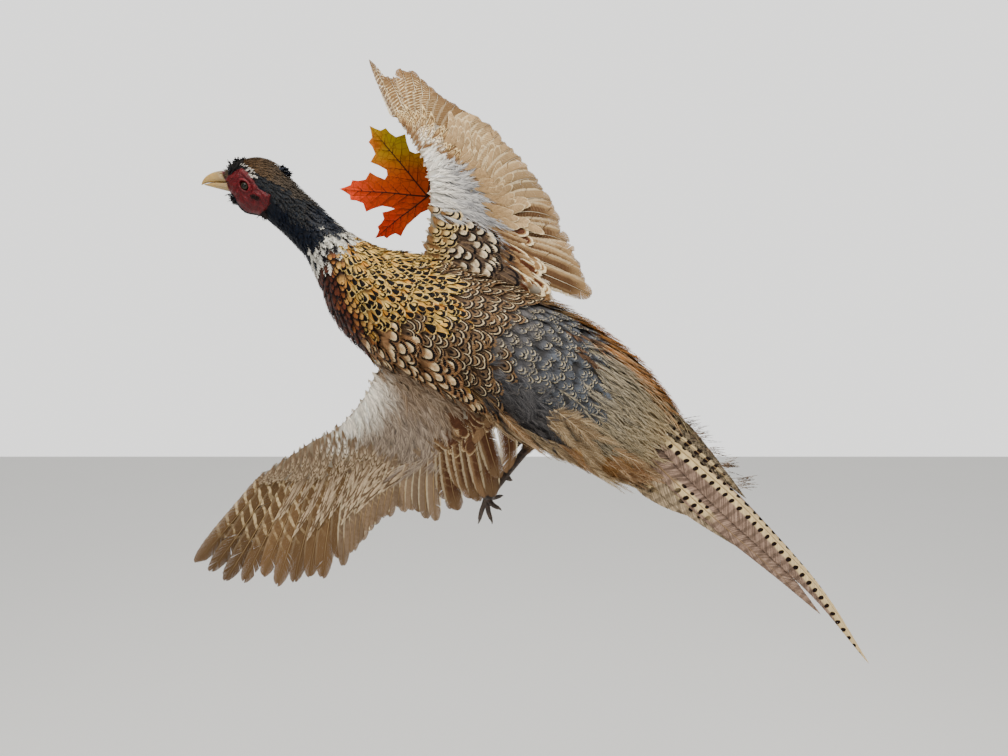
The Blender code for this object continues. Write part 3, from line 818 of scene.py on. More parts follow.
class Plumes:
    """Feathers gathered into one mesh, with what their finish needs to know of every barb."""

    def __init__(self):
        self.points, self.faces, self.vane, self.luck, self.tint, self.home = [], [], [], [], [], []
        self.total = 0

    def keep(self, points, faces, vane, luck, tint, home):
        self.points.append(points.reshape(-1, 3))
        self.faces.append(faces.reshape(-1, 4) + self.total)
        for store, values in ((self.vane, vane), (self.luck, luck), (self.tint, tint), (self.home, home)):
            store.append(np.broadcast_to(values, points.shape[:-1] + values.shape[-1:])
                         .reshape(-1, values.shape[-1]))
        self.total += points.size // 3

    def vanes(self, lines, half_width, tint, home, strips=9, steps=3, widest=0.6, base=0.4, point=2.0,
              slant=1.0, fray=0.5, ragged=0.08, ruffle=0.25, cup=0.25, tilt=0.0, lift=0.0, hold=1.0,
              uneven=(1.0, 1.0), own=None):
        """Barbs in strips on each side of the shaft, each of a few steps outwards. About as many
        neighbours as hold says hook together and stray as one."""
        centre, side, normal = lines
        count, rows = centre.shape[:2]
        length = np.linalg.norm(np.diff(centre, axis=1), axis=-1).sum(1)
        shape = (count, 2, strips, steps + 1, 2)
        half_width = np.broadcast_to(half_width, (count,))
        widest, point = (np.broadcast_to(value, (count,)).reshape(-1, 1, 1) for value in (widest, point))
        out = np.linspace(0, 1, steps + 1)[:, None]
        rooted = 0.985 * ((np.arange(strips)[:, None] + np.arange(2)) / strips)
        reach = (half_width * slant / length)[:, None, None]
        left = 1 - rooted[None]
        tip = rooted[None] + left * (1 - np.exp(-reach / left))
        wide = profile(tip, widest, base, point)
        rooted = rooted[None, None, :, None, :]
        tip = tip[:, None, :, None, :]
        short = 1 - ragged * chance.random((count, 2, strips, 1, 1)) ** 2
        share = rooted + (tip - rooted) * out ** 1.2 * short
        across = wide[:, None, :, None, :] * out * short
        share = np.broadcast_to(share, shape)
        across = np.broadcast_to(across, shape)
        close = fray * out ** 2.2
        share = share + (share.mean(-1, keepdims=True) - share) * close
        across = across + (across.mean(-1, keepdims=True) - across) * close
        group = np.cumsum(chance.random((count, 2, strips)) < 1 / hold, axis=2)
        stray = chance.random((count, 2, strips + 1))
        drift = (np.take_along_axis(stray, group, 2)[..., None, None] - 0.5) * ruffle
        share = share + drift * out ** 2 * reach[:, :, :, None, None].reshape(count, 1, 1, 1, 1)
        sign = np.array((-1.0, 1.0)).reshape(1, 2, 1, 1, 1)
        spot = np.clip(share, 0, 1) * (rows - 1)
        index = np.minimum(spot.astype(int), rows - 2)
        part = (spot - index)[..., None]
        feather = np.arange(count).reshape(-1, 1, 1, 1, 1)
        middle = centre[feather, index] * (1 - part) + centre[feather, index + 1] * part
        overrun = (np.maximum(share - 1, 0) * length.reshape(-1, 1, 1, 1, 1))[..., None]
        middle = middle + unit(centre[:, -1] - centre[:, -2]).reshape(count, 1, 1, 1, 1, 3) * overrun
        sideways = side[feather, index] * (1 - part) + side[feather, index + 1] * part
        upright = normal[feather, index] * (1 - part) + normal[feather, index + 1] * part
        width = half_width.reshape(-1, 1, 1, 1, 1) * np.array(uneven).reshape(1, 2, 1, 1, 1)
        jitter = (chance.random((count, 2, strips, 1, 1)) - 0.5) * lift * out ** 1.5
        edge = (np.arange(2) - 0.5) * 0.12 * out * width / strips
        height = width * (-cup * across ** 2 + jitter + tilt * sign * across) + edge
        points = middle + sideways * (sign * across * width)[..., None] + upright * height[..., None]
        number = np.arange(count * 2 * strips * (steps + 1) * 2).reshape(shape)
        here, there = number[:, :, :, :-1], number[:, :, :, 1:]
        faces = np.stack([here[..., 0], here[..., 1], there[..., 1], there[..., 0]], -1)
        faces[:, 0] = faces[:, 0, ..., ::-1]
        widest, point = widest[..., None, None], point[..., None, None]
        end = np.clip((share - widest) / (1 - widest), 0, None)
        rim = (across ** point + end ** point) ** (1 / point)
        vane = np.stack(np.broadcast_arrays(sign * across, share, rim), -1)
        own = chance.random(count) if own is None else own
        own = np.broadcast_to(own.reshape(-1, 1, 1, 1, 1), shape)
        strand = np.broadcast_to(chance.random((count, 2, strips, 1, 1)), shape)
        barb = np.broadcast_to(rooted * length.reshape(-1, 1, 1, 1, 1), shape)
        patch = np.stack(np.broadcast_arrays(sign * across * 0.5, share - 0.5), -1) * BAKE_PATCH
        self.keep(points, faces, vane, np.stack([own, strand, barb], -1),
                  np.asarray(tint).reshape(count, 1, 1, 1, 1, 3),
                  patch + home.reshape(count, 1, 1, 1, 1, 2))

    def shafts(self, lines, radius, tint, home):
        """A quill along each feather's middle, thick at its root and fine at its tip."""
        centre, side, normal = lines
        count, rows = centre.shape[:2]
        share = np.linspace(0, 1, rows)
        size = (np.broadcast_to(radius, (count,))[:, None] * (1.05 - share))[..., None, None]
        ring = np.radians((0, 90, 180, 270))
        points = centre[:, :, None] + size * (side[:, :, None] * np.cos(ring)[:, None]
                                              + normal[:, :, None] * np.sin(ring)[:, None])
        number = np.arange(count * rows * 4).reshape(count, rows, 4)
        near, far = number[:, :-1], number[:, 1:]
        faces = np.stack([near, np.roll(near, -1, -1), np.roll(far, -1, -1), far], -1)
        share = np.broadcast_to(share[:, None], (count, rows, 4))
        zero = np.zeros_like(share)
        vane = np.stack([zero, share, zero - 1], -1)
        own = np.broadcast_to(chance.random((count, 1, 1)), share.shape)
        patch = np.stack([zero, share - 0.5], -1) * BAKE_PATCH
        self.keep(points, faces, vane, np.stack([own, own, zero], -1),
                  np.asarray(tint).reshape(count, 1, 1, 3), patch + home.reshape(count, 1, 1, 2))

    def mesh(self, name):
        made = bpy.data.meshes.new(name)
        points = np.concatenate(self.points)
        faces = np.concatenate(self.faces)
        made.vertices.add(len(points))
        made.vertices.foreach_set("co", points.astype(np.float32).ravel())
        made.loops.add(faces.size)
        made.loops.foreach_set("vertex_index", faces.astype(np.int32).ravel())
        made.polygons.add(len(faces))
        made.polygons.foreach_set("loop_start", np.arange(0, faces.size, 4, dtype=np.int32))
        made.update(calc_edges=True)
        for label, values in (("vane", self.vane), ("luck", self.luck), ("tint", self.tint)):
            tell(made, label, np.concatenate(values))
        home = np.concatenate(self.home)[faces.ravel()]
        made.uv_layers.new(name="OFBake").data.foreach_set("uv", home.astype(np.float32).ravel())
        made.shade_smooth()
        return made


def grow(name, lines, half_width, tint, home, finish, shaft=0, slot="plumage", replaced=(), **vane):
    """A piece of feathers along the given lines, with shafts where they show."""
    plumes = Plumes()
    plumes.vanes(lines, half_width, tint, home, **vane)
    if shaft:
        plumes.shafts(lines, shaft, tint, home)
    stand_piece(name, plumes.mesh(name), finish, replaced)


def body_home(at, angle):
    """Where a root lies on the body's skin, cut along the belly and laid flat."""
    round_it = smooth(body_sizes[:, :3], at).mean(-1) / body_sizes[:, :3].mean(1).max()
    turn = (angle / (2 * math.pi) + 0.25) % 1
    return np.stack([0.5 + (turn - 0.5) * 0.96 * np.clip(round_it, 0.1, 1), 0.02 + at / 19 * 0.96], -1)


class Barbs(Finish):
    """A feather's finish: its own tint, and the place of each point on its vane."""

    def __init__(self, name, **constants):
        super().__init__(name, Specular_IOR_Level=0.08, **constants)
        self.across, self.along, self.rim = self.parts(self.attribute("vane", "Vector"))
        self.own, self.strand, self.barb = self.parts(self.attribute("luck", "Vector"))
        self.ground = self.attribute("tint", "Vector")

    def strands(self, colour, depth=0.35, lines=0.25, per_metre=2600.0):
        """Barbs catch the light one by one: each bundle and each fine line has its own tone."""
        fine = (self.barb * per_metre + self.strand * 6.0).wave()
        return self.tint(colour, 1 - depth * 0.5 + self.strand * depth + fine * lines * 0.5)


def small_feather(name, edge, **constants):
    """Short feathers of one tint with a finer, paler or darker edge."""
    made = Barbs(name, **constants)
    colour = made.mix(made.rim.rise(0.45, 0.9), made.ground, edge)
    made.feed(Base_Color=made.strands(made.mix(0.5, made.ground, colour), 0.6, 0.2))
    return made


def body_coat(name, chosen, finish, size=2.9, breadth=0.82, low=0.1, high=0.92, heading=0.0, wander=0.12,
              **vane):
    """Feathers of one tract, laid back along the body."""
    where_at, where_round, gap = at[chosen], angle[chosen], pitch[chosen]
    count = len(where_at)
    depth = smooth(COAT_DEPTH, where_at)
    length = gap * size * chance.normal(1, 0.08, count)
    turned = np.broadcast_to(heading, (count,)) + chance.normal(0, wander, count)
    tips = depth * high + chance.normal(0, 0.07, count) * depth
    lines = lay(body_point, where_at, where_round, turned, length, depth * low, tips)
    grow(name, lines, gap * breadth * chance.normal(1, 0.06, count), vary(tint[chosen], 0.08),
         body_home(where_at, where_round), finish, **vane)


head_sides = tract == "crown"
crown_share = soft_step(head_back[head_sides] + chance.normal(0, 3, head_sides.sum()), -2, 44)
tint[head_sides] = gradient(crown_share, (0.08, 0.044, 0.02), (0.085, 0.053, 0.028), (0.068, 0.049, 0.033),
                            (0.046, 0.038, 0.03))
slate = head_sides & (head_up < 15 - 0.52 * head_back + chance.normal(0, 1.5, len(at))) & (head_back > 4)
tint[slate] = (0.017, 0.02, 0.024)
brow_white = on_head & on_side(roots) & (off_face > 0.2) & (off_face < 3.6)
brow_white &= (head_back > -6) & (head_back < 9.5) & (head_up > 4)
tint[brow_white] = np.where(chance.random((brow_white.sum(), 1)) < 0.66, (0.5, 0.46, 0.4),
                            (0.012, 0.012, 0.014))
tract[brow_white] = "brow"

crown_feather = small_feather("crown_feather", (0.05, 0.04, 0.03), Roughness=0.65)
body_coat("coat_crown", tract == "crown", crown_feather, size=3.4, breadth=0.6, high=1.25, strips=4,
          steps=2, fray=0.8, ruffle=0.4, ragged=0.15, point=1.6)
body_coat("coat_brow", tract == "brow", crown_feather, size=1.9, breadth=0.7, low=0.5, high=1.5, strips=4,
          steps=2, fray=0.6, ruffle=0.6, ragged=0.3, wander=0.3, point=1.6)

neck_feather = small_feather("neck_feather", (0.003, 0.01, 0.026), Roughness=0.45, Coat_Weight=0.1,
                             Coat_Roughness=0.35)
body_coat("coat_neck", tract == "neck", neck_feather, size=3.1, breadth=0.78, strips=5, steps=2,
          fray=0.7, ruffle=0.5, ragged=0.2, wander=0.14)

COLLAR_FLECKS = 0.2                                 # the share of the collar's feathers that are dark
flecks = (tract == "collar") & (chance.random(len(at)) < COLLAR_FLECKS)
tint[flecks] = (0.012, 0.01, 0.012)
collar_feather = small_feather("collar_feather", (0.62, 0.6, 0.54), Roughness=0.7)
body_coat("coat_collar", tract == "collar", collar_feather, size=3.0, breadth=0.8, strips=6, steps=2,
          fray=0.75, ruffle=0.6, ragged=0.3, wander=0.2)


def mantle_feather():
    """Golden buff, brown towards the root, with a black drop at the tip."""
    made = Barbs("mantle_feather", Roughness=0.55)
    colour = made.mix(made.along.rise(0.3, 0.6), (0.24, 0.13, 0.045), made.ground)
    colour = made.mix(made.rim.rise(0.75, 1.0) * 0.6, colour, (0.82, 0.6, 0.22))
    swell = made.along.rise(0.36, 0.84) * (0.46 + made.own * 0.22)
    end = 1 - made.along.rise(0.9, 0.975)
    out = abs(made.across) + made.noise(200, 2) * 0.16 - 0.08
    drop = (swell * end - out).rise(-0.05, 0.04)
    colour = made.mix(drop, colour, (0.004, 0.003, 0.003))
    core = (swell * (1 - made.along.rise(0.78, 0.86)) * 0.5 - out).rise(-0.03, 0.03)
    colour = made.mix(core * made.own.rise(0.6, 0.68), colour, made.ground)
    made.feed(Base_Color=made.strands(colour, 0.3, 0.2))
    return made


mantle = tract == "mantle"
golden = chance.random(mantle.sum())
# Towards the bird's left, which hangs lower and turns from the light, the mantle is painted up to a third
# darker: painted shade.
tint[mantle] = gradient(golden, (0.52, 0.2, 0.02), (0.66, 0.4, 0.09), (0.74, 0.5, 0.15)) \
    * (1 - 0.34 * soft_step(turn[mantle], 16, 56))[:, None]
body_coat("coat_mantle", mantle, mantle_feather(), size=3.1, breadth=0.74, strips=12, widest=0.62,
          fray=0.25, ruffle=0.3, hold=3)


def looped_feather(name, rings, brown, first=0.42, missing=-0.1, broken=0.0):
    """Rings of cream, black and buff, one inside another, follow the feather's edge."""
    made = Barbs(name, Roughness=0.55)
    rim = made.rim + made.noise(260, 2) * 0.16 - 0.08
    colour = made.mix(made.along.rise(0.35, 0.7), brown, made.ground)
    for start, end, shade in rings:
        ring = rim.rise(start - 0.025, start + 0.025) * (1 - rim.rise(end - 0.025, end + 0.025))
        shown = made.own.rise(missing - 0.05, missing + 0.05)
        shown = shown * (1 - broken * made.noise(230, 2).rise(0.46, 0.54))
        colour = made.mix(ring * made.along.rise(first, first + 0.16) * shown, colour, shade)
    made.feed(Base_Color=made.strands(colour, 0.35, 0.2))
    return made


CREAM, BLACK, BUFF = (0.56, 0.44, 0.26), (0.006, 0.004, 0.004), (0.18, 0.1, 0.045)
scapular_feather = looped_feather("scapular_feather", ((-0.2, 0.2, BLACK), (0.42, 0.54, BLACK),
                                                       (0.57, 0.66, CREAM), (0.69, 0.85, BLACK),
                                                       (0.9, 1.3, BUFF)), (0.06, 0.035, 0.02))
scapular = tract == "scapular"
tint[scapular] = gradient(soft_step(np.abs(turn[scapular]), 30, 66), (0.14, 0.086, 0.045),
                          (0.09, 0.058, 0.034))
WIDE_ONES = 0.66                                    # the share of roots that carry so wide a feather
body_coat("coat_scapulars", scapular & (chance.random(len(at)) < WIDE_ONES), scapular_feather, size=3.7,
          breadth=1.05, strips=14, fray=0.35, ruffle=0.4, wander=0.18, hold=2.5)

DIM_CREAM = (0.5, 0.42, 0.27)
saddle_feather = looped_feather("saddle_feather", ((0.3, 0.42, DIM_CREAM), (0.42, 0.56, BLACK),
                                                   (0.66, 0.78, DIM_CREAM), (0.78, 0.92, BLACK)),
                                (0.04, 0.038, 0.038), 0.6, 0.14, 0.6)
saddle = (tract == "saddle") & ~((about > 34) & (turn > 0) & (at > 11.8))
tint[saddle] = gradient(soft_step(at[saddle] + chance.normal(0, 0.2, saddle.sum()), 10.6, 13.4),
                        (0.13, 0.098, 0.07), (0.095, 0.094, 0.1), (0.09, 0.102, 0.122))
body_coat("coat_saddle", saddle, saddle_feather, size=3.5, breadth=0.8, high=0.5, strips=18,
          fray=0.78, slant=1.6, ruffle=0.5, ragged=0.28, wander=0.2, hold=1.6, cup=0.0)


def breast_feather():
    """Chestnut with a thin black edge that thickens to a notch at the tip."""
    made = Barbs("breast_feather", Roughness=0.45)
    colour = made.mix(made.along.rise(0.4, 0.8), (0.045, 0.022, 0.015), made.ground)
    edge = (made.rim - 0.1 * (1 - abs(made.across))).rise(0.6, 0.7)
    made.feed(Base_Color=made.strands(made.mix(edge, colour, (0.006, 0.004, 0.005)), 0.4, 0.2))
    return made


breast = tract == "breast"
side_share = soft_step((about - mantle_edge)[breast], 2, 40)
tint[breast] = gradient(side_share, (0.5, 0.27, 0.07), (0.27, 0.095, 0.026), (0.12, 0.032, 0.015),
                        (0.075, 0.022, 0.013))
body_coat("coat_breast", breast, breast_feather(), size=3.1, breadth=0.8, strips=8, ruffle=0.3)


def loose_feather(name, dark, pale):
    """Long barbs that have come apart into hair, each of its own tone, and a pale shaft."""
    made = Barbs(name, Roughness=0.7)
    streak = made.mix(made.strand.rise(0.15, 0.9), dark, pale)
    colour = made.mix(0.6, streak, made.ground)
    shaft = 1 - made.rim.rise(-0.6, -0.4)
    made.feed(Base_Color=made.mix(shaft, made.strands(colour, 0.5, 0.3), pale))
    return made


def hairy_coat(name, chosen, finish, size, breadth, high=0.92, shaft=0.16 * MM, heading=0.0, wander=0.2,
               lift=0.2, strips=16, steps=3, bend=0.25, copies=1):
    """Long soft feathers whose barbs hang apart like hair, with fine stiff shafts among them."""
    chosen = np.repeat(np.flatnonzero(chosen), copies)
    count, gap = len(chosen), pitch[chosen]
    where_at = at[chosen] + chance.normal(0, 0.09, count) * (copies > 1)
    where_round = angle[chosen] + chance.normal(0, 0.035, count) * (copies > 1)
    depth = smooth(COAT_DEPTH, where_at)
    length = gap * size * chance.normal(1, 0.12, count)
    turned = np.broadcast_to(heading, (count,)) + chance.normal(0, wander, count)
    tips = depth * high + chance.normal(0, 0.12, count) * depth
    lines = lay(body_point, where_at, where_round, turned, length, depth * 0.1, tips,
                bend=chance.normal(0, bend, count))
    grow(name, lines, gap * breadth, vary(tint[chosen], 0.14), body_home(where_at, where_round), finish,
         shaft, strips=strips, steps=steps, widest=0.4, base=0.3, point=1.3, slant=3.6, fray=0.97,
         ragged=0.45, ruffle=0.4, cup=0.05, lift=lift)


rump = tract == "rump"
along_rump = soft_step(at[rump] + chance.normal(0, 0.3, rump.sum()), 12.8, 16.0)
edge_rump = (soft_step(chance.normal(0, 3, rump.sum()) - turn[rump], 34, 50)
             * (1 - soft_step(at[rump] + chance.normal(0, 0.3, rump.sum()), 14.6, 15.8)))[:, None]
tint[rump] = gradient(along_rump, (0.1, 0.1, 0.105), (0.19, 0.145, 0.09), (0.31, 0.205, 0.09)) \
    * (1 - edge_rump) + np.array((0.62, 0.19, 0.012)) * edge_rump
rump_feather = loose_feather("rump_feather", (0.06, 0.05, 0.035), (0.58, 0.48, 0.3))
hairy_coat("coat_rump", rump, rump_feather, size=5.4, breadth=0.4, wander=0.1, lift=0.1, steps=2,
           shaft=0.24 * MM, bend=0.1, copies=2)

flank = tract == "flank"
flank_share = soft_step(at[flank] + chance.normal(0, 0.35, flank.sum()), 11.8, 14.6)
tint[flank] = gradient(flank_share, (0.09, 0.047, 0.02), (0.25, 0.14, 0.058), (0.4, 0.19, 0.055))
tint[flank & (turn < 0) & (at > 12.6)] = (0.42, 0.15, 0.02)
slate_patch = np.isin(tract, ("flank", "saddle")) & (about > 34) & (turn > 0) & (turn < 84)
slate_patch &= (at > 11.8) & (at < 13.6)
tint[slate_patch] = gradient(soft_step(about[slate_patch], 40, 76), (0.085, 0.085, 0.092),
                             (0.04, 0.034, 0.033))
flank_feather = loose_feather("flank_feather", (0.045, 0.02, 0.008), (0.42, 0.26, 0.12))
slate_feather = loose_feather("slate_feather", (0.02, 0.019, 0.02), (0.19, 0.17, 0.155))
hairy_coat("coat_slate_patch", slate_patch, slate_feather, size=3.2, breadth=0.9, wander=0.4, shaft=0,
           lift=0.5, high=1.1, strips=22)
flank &= ~slate_patch
hairy_coat("coat_flanks", flank, flank_feather, size=6.8, breadth=1.1, wander=0.08, lift=0.3,
           heading=np.sign(turn[flank]) * -0.24, high=1.2, shaft=0.25 * MM, bend=0.06)

# Plumes: a splayed handful over the rump's left side, the long ones that hang beyond the flank and
# trail below it, and dark rufous ones over the roots of the tail.
SPLAYED, HANGING, TRAILING, RUFOUS = 14, 38, 9, 13
PLUME_COUNT = SPLAYED + HANGING + TRAILING + RUFOUS
plume_kind = np.repeat((0, 1, 2, 3), (SPLAYED, HANGING, TRAILING, RUFOUS))


def by_kind(*ranges):
    low, high = np.array(ranges, float)[plume_kind].T
    return chance.uniform(low, high)


plume_at = by_kind((13.1, 13.9), (11.7, 14.6), (14.2, 15.8), (14.6, 15.3))
plume_angle = np.radians(90 - by_kind((36, 58), (66, 104), (80, 106), (30, 72)))
plume_heading = by_kind((-0.4, 0.3), (-0.42, -0.04), (-0.12, 0.06), (-0.3, 0.15))
plume_length = by_kind((38, 56), (50, 74), (56, 78), (34, 58)) * MM
plume_depth = smooth(COAT_DEPTH, plume_at)
plume_lines = lay(body_point, plume_at, plume_angle, plume_heading, plume_length,
                  plume_depth * 0.6, plume_depth * by_kind((1.2, 1.8), (1.2, 2.0), (2.0, 3.2), (1.4, 2.4)),
                  bend=chance.normal(0, 0.08, PLUME_COUNT), rows=13)
plume_tint = gradient(by_kind((0.1, 0.62), (0, 1), (0.45, 0.66), (0.86, 1)), (0.14, 0.075, 0.035),
                      (0.34, 0.22, 0.11), (0.44, 0.32, 0.18), (0.28, 0.1, 0.02))
plume_finish = loose_feather("plume", (0.12, 0.065, 0.03), (0.54, 0.42, 0.26))
grow("coat_plumes", plume_lines, by_kind((6, 9), (7, 10), (9, 12), (5, 8)) * MM, plume_tint,
     body_home(plume_at, plume_angle), plume_finish, 0.45 * MM, strips=72, widest=0.4, base=0.6, point=1.3,
     slant=1.5, fray=0.92, ragged=0.4, ruffle=0.6, cup=0.1, lift=0.2, hold=4)

vent_feather = loose_feather("vent_feather", (0.03, 0.018, 0.012), (0.16, 0.1, 0.06))
body_coat("coat_vent", tract == "vent", vent_feather, size=4.0, breadth=0.7, strips=9, steps=2,
          widest=0.5, fray=0.9, ruffle=0.8, ragged=0.3, slant=2.0, point=1.5, wander=0.2)

# ---- Tufts on the head -----------------------------------------------------------------------------
# Stiff short tufts: dark feathers over the ear and along the lower edge of the bare face, bristles over
# the root of the bill, a horn of longer feathers behind the crown, and ragged ones on forehead and chin.


def tufts(name, points, normals, way, length, half_width, colours, finish, lift):
    """Short feathers that start at points of the skin and stand a little free of it."""
    count, rows = len(points), 5
    share = np.linspace(0, 1, rows)
    flat = unit(way - normals * (way * normals).sum(-1, keepdims=True))
    run = length[:, None, None] * share[:, None]
    climb = lift * share[:, None] ** 0.7
    centre = points[:, None] + flat[:, None] * run + normals[:, None] * run * climb
    tangent = unit(np.gradient(centre, axis=1))
    side = unit(np.cross(normals, flat))[:, None] + np.zeros_like(centre)
    grow(name, (centre, side, np.cross(tangent, side)), half_width, colours, np.full((count, 2), 0.5),
         finish, strips=4, steps=2, fray=0.7, ruffle=0.5, ragged=0.3, point=1.5)


def stray_ways(count, way, amount):
    """One direction for each tuft, none quite the same."""
    return np.array(way) + chance.normal(0, amount, (count, 3))


skin_points, skin_normals = coordinates(skin.data), coordinates(skin.data, "normal")
from_eye = (skin_points - EYE_CENTRE) / MM
border = face_depth(skin_points)
flat_side = (np.abs(from_eye[:, 1]) > 6) & (np.abs(skin_normals[:, 1]) > 0.3)
from_ear, below_ear = from_eye[:, 0] - 8, from_eye[:, 2] + 9
ear = np.hypot(from_ear * 0.94 - below_ear * 0.34, (from_ear * 0.34 + below_ear * 0.94) * 2.3) < 3.9
on_ear = np.flatnonzero(ear & flat_side & (border > 0))
count = len(on_ear)
tufts("tufts_ear", skin_points[on_ear], skin_normals[on_ear], stray_ways(count, (0.9, 0, -0.5), 0.2),
      chance.normal(2.4, 0.4, count) * MM, 0.45 * MM, vary(np.tile((0.018, 0.009, 0.009), (count, 1)), 0.3),
      crown_feather, 0.25)

on_edge = flat_side & (np.abs(border + 0.2) < 0.9) & (from_eye[:, 2] < -17)
on_edge &= (from_eye[:, 0] > -6) & (from_eye[:, 0] < 14)
on_edge = np.repeat(np.flatnonzero(on_edge), 3)
count = len(on_edge)
edge_shade = np.where(chance.random((count, 1)) < 0.06, (0.4, 0.33, 0.28), (0.012, 0.008, 0.009))
tufts("tufts_cheek", skin_points[on_edge], skin_normals[on_edge], stray_ways(count, (0.4, 0, -0.9), 0.3),
      chance.normal(4.4, 1.2, count) * MM, 0.7 * MM, edge_shade, crown_feather, 0.4)

BRISTLES = 170
bristle_turn = np.radians(chance.uniform(-98, 98, BRISTLES))
bristle_normal = np.stack([np.full(BRISTLES, 0.25), np.sin(bristle_turn), np.cos(bristle_turn)], -1)
bristle_root = np.array((-197.2, EYE_CENTRE[1] / MM, 137.2)) * MM + unit(bristle_normal) * (5.2 * MM)
bristle_root[:, 0] += chance.uniform(-2.2, 1.5, BRISTLES) * MM
bristle_tint = gradient(chance.random(BRISTLES), (0.02, 0.014, 0.01), (0.11, 0.075, 0.04))
tufts("tufts_bristles", bristle_root, unit(bristle_normal), stray_ways(BRISTLES, (-1.0, 0, -0.1), 0.18),
      chance.normal(5.2, 1.0, BRISTLES) * MM, 0.3 * MM, bristle_tint, crown_feather, 0.08)


def crest(name, chosen, raised, way, stray, length, half_width, shade, amount, finish, lift, front=1.0):
    """Two tufts at each root of the coat, all of one shade. Those at the front may be longer or shorter."""
    chosen = np.repeat(np.flatnonzero(chosen), 2)
    count = len(chosen)
    root = body_point(at[chosen], angle[chosen], raised * MM)
    normal = unit(body_point(at[chosen], angle[chosen], (raised + 1.0) * MM) - root)
    ways = stray_ways(count, way, stray)
    lengths = chance.normal(*length, count) * MM * np.interp(head_back[chosen], (-10, -5), (1, front))
    tufts(name, root, normal, ways, lengths, half_width * MM, vary(np.tile(shade, (count, 1)), amount),
          finish, lift)


crest("tufts_horns", (head_back > 25) & (head_back < 31.5) & (np.abs(turn) < 24) & (at < 8), 1.0,
      (0.8, 0, 0.0), 0.2, (4.4, 0.8), 1.7, (0.012, 0.014, 0.022), 0.2, neck_feather, 0.62)
crest("tufts_forehead", (head_back > -20) & (head_back < -5) & (np.abs(turn) < 64) & (head_up > 8)
      & (at < 4), 0.8, (0.5, 0, 0.6), 0.35, (4.8, 1.2), 1.3, (0.012, 0.012, 0.014), 0.3, crown_feather,
      0.75, 0.6)
crest("tufts_chin", (at > 0.22) & (at < 0.95) & (np.abs(turn) > 106) & ~bare, 0.5,
      (-0.4, 0, -0.7), 0.3, (3.6, 0.9), 1.0, (0.011, 0.011, 0.013), 0.3, crown_feather, 0.4)

# ---- Wing coverts ----------------------------------------------------------------------------------
# Small feathers in rows from each wing's front edge back over the roots of its quills: golden along the
# front and cream-tipped near the body, soft and grey along the forearm, pale-edged on the hand, and in a
# longer last row of chestnut or buff over the roots of the quills.

COLUMN = 5.2 * MM                                   # from column to column along the wing
SHORT_COVERT, LONG_COVERT, WIDEST_COVERT = 3.2 * MM, 8.5 * MM, 9.5 * MM     # from row to row
GROWN_AT = 75 * MM                                  # how far back they reach their full size
INNERMOST = -0.16                                   # share of the wing where its coverts start


def scatter_wing(wing, face, coarse):
    """Roots over one face of a wing: run back from its front edge, share out along it, and pitch."""
    ends = wing_point(wing, face, np.full(60, 0.5), np.linspace(INNERMOST, 1, 60))
    span = np.linalg.norm(np.diff(ends, axis=0), axis=1).sum()
    columns = int(span / COLUMN / coarse)
    rows = []
    for column in range(columns):
        share = INNERMOST + (1 - INNERMOST) * (column + 0.5) / columns
        leading, coverts, _ = wing_lines(wing, np.array([share]))
        chord = float(np.linalg.norm(coverts - leading))
        back = ((column % 2) * 2.2 * coarse + (1.0 if coarse == 1 else -0.8)) * MM
        while back < chord * 0.94:
            gap = coarse * (SHORT_COVERT + (LONG_COVERT - SHORT_COVERT) * min(back / GROWN_AT, 1))
            gap = min(gap, WIDEST_COVERT)
            rows.append((back / chord, share, gap))
            back += gap * (0.95 if coarse < 1.5 else 0.8)
    run, share, gap = np.array(rows).T
    run = run + chance.uniform(-0.25, 0.25, len(run)) * gap / (80 * MM)
    share = share + chance.uniform(-0.3, 0.3, len(run)) * COLUMN * coarse / span
    return np.clip(run, -0.02, 0.98), np.clip(share, INNERMOST, 1), gap


def tipped_covert(name, pale, stained, oval=0.6, plain=0.2):
    """Chestnut brown, with a cream oval at the tip inside a thin black border."""
    made = Barbs(name, Roughness=0.55)
    rim = made.rim + made.noise(240, 2) * 0.14 - 0.07
    colour = made.mix(made.strand.rise(0.2, 0.9), made.ground, made.tint(made.ground, 0.45))
    colour = made.mix((1 - abs(made.across).rise(0.02, 0.1)) * 0.4, colour, (0.3, 0.19, 0.09))
    beyond = rim.rise(oval, oval + 0.06)
    patch = (1 - beyond) * made.along.rise(0.48, 0.66) * made.own.rise(plain - 0.06, plain + 0.06)
    cream = made.mix((1 - abs(made.across).rise(0.0, 0.5)) * (1 - made.along.rise(0.7, 0.9)) * 0.6,
                     pale, stained)
    border = beyond * (1 - rim.rise(oval + 0.27, oval + 0.35)) * made.along.rise(0.36, 0.5)
    colour = made.mix(border, colour, BLACK)
    colour = made.mix(patch, colour, cream)
    made.feed(Base_Color=made.strands(colour, 0.35, 0.25))
    return made


cream_tipped = tipped_covert("tipped_covert", (0.8, 0.68, 0.46), (0.34, 0.2, 0.09), 0.48, 0.2)
golden_covert = looped_feather("golden_covert", ((0.5, 0.8, BLACK),), (0.2, 0.1, 0.035), 0.35)
slate_covert = loose_feather("slate_covert", (0.2, 0.19, 0.19), (0.6, 0.56, 0.5))
dusky_covert = loose_feather("dusky_covert", (0.16, 0.115, 0.085), (0.42, 0.33, 0.23))
pale_covert = looped_feather("pale_covert", ((0.45, 0.7, (0.1, 0.055, 0.025)),
                                             (0.78, 1.3, (0.74, 0.56, 0.29))), (0.18, 0.095, 0.04))
brown_covert = looped_feather("brown_covert", ((0.5, 0.74, (0.12, 0.075, 0.042)),
                                               (0.88, 1.3, (0.54, 0.42, 0.27))), (0.19, 0.125, 0.075))
chestnut_covert = looped_feather("chestnut_covert", ((-0.3, 0.56, (0.08, 0.024, 0.009)),
                                                     (0.72, 1.3, (0.8, 0.64, 0.38))),
                                 (0.12, 0.055, 0.022), 0.25, 0.25)
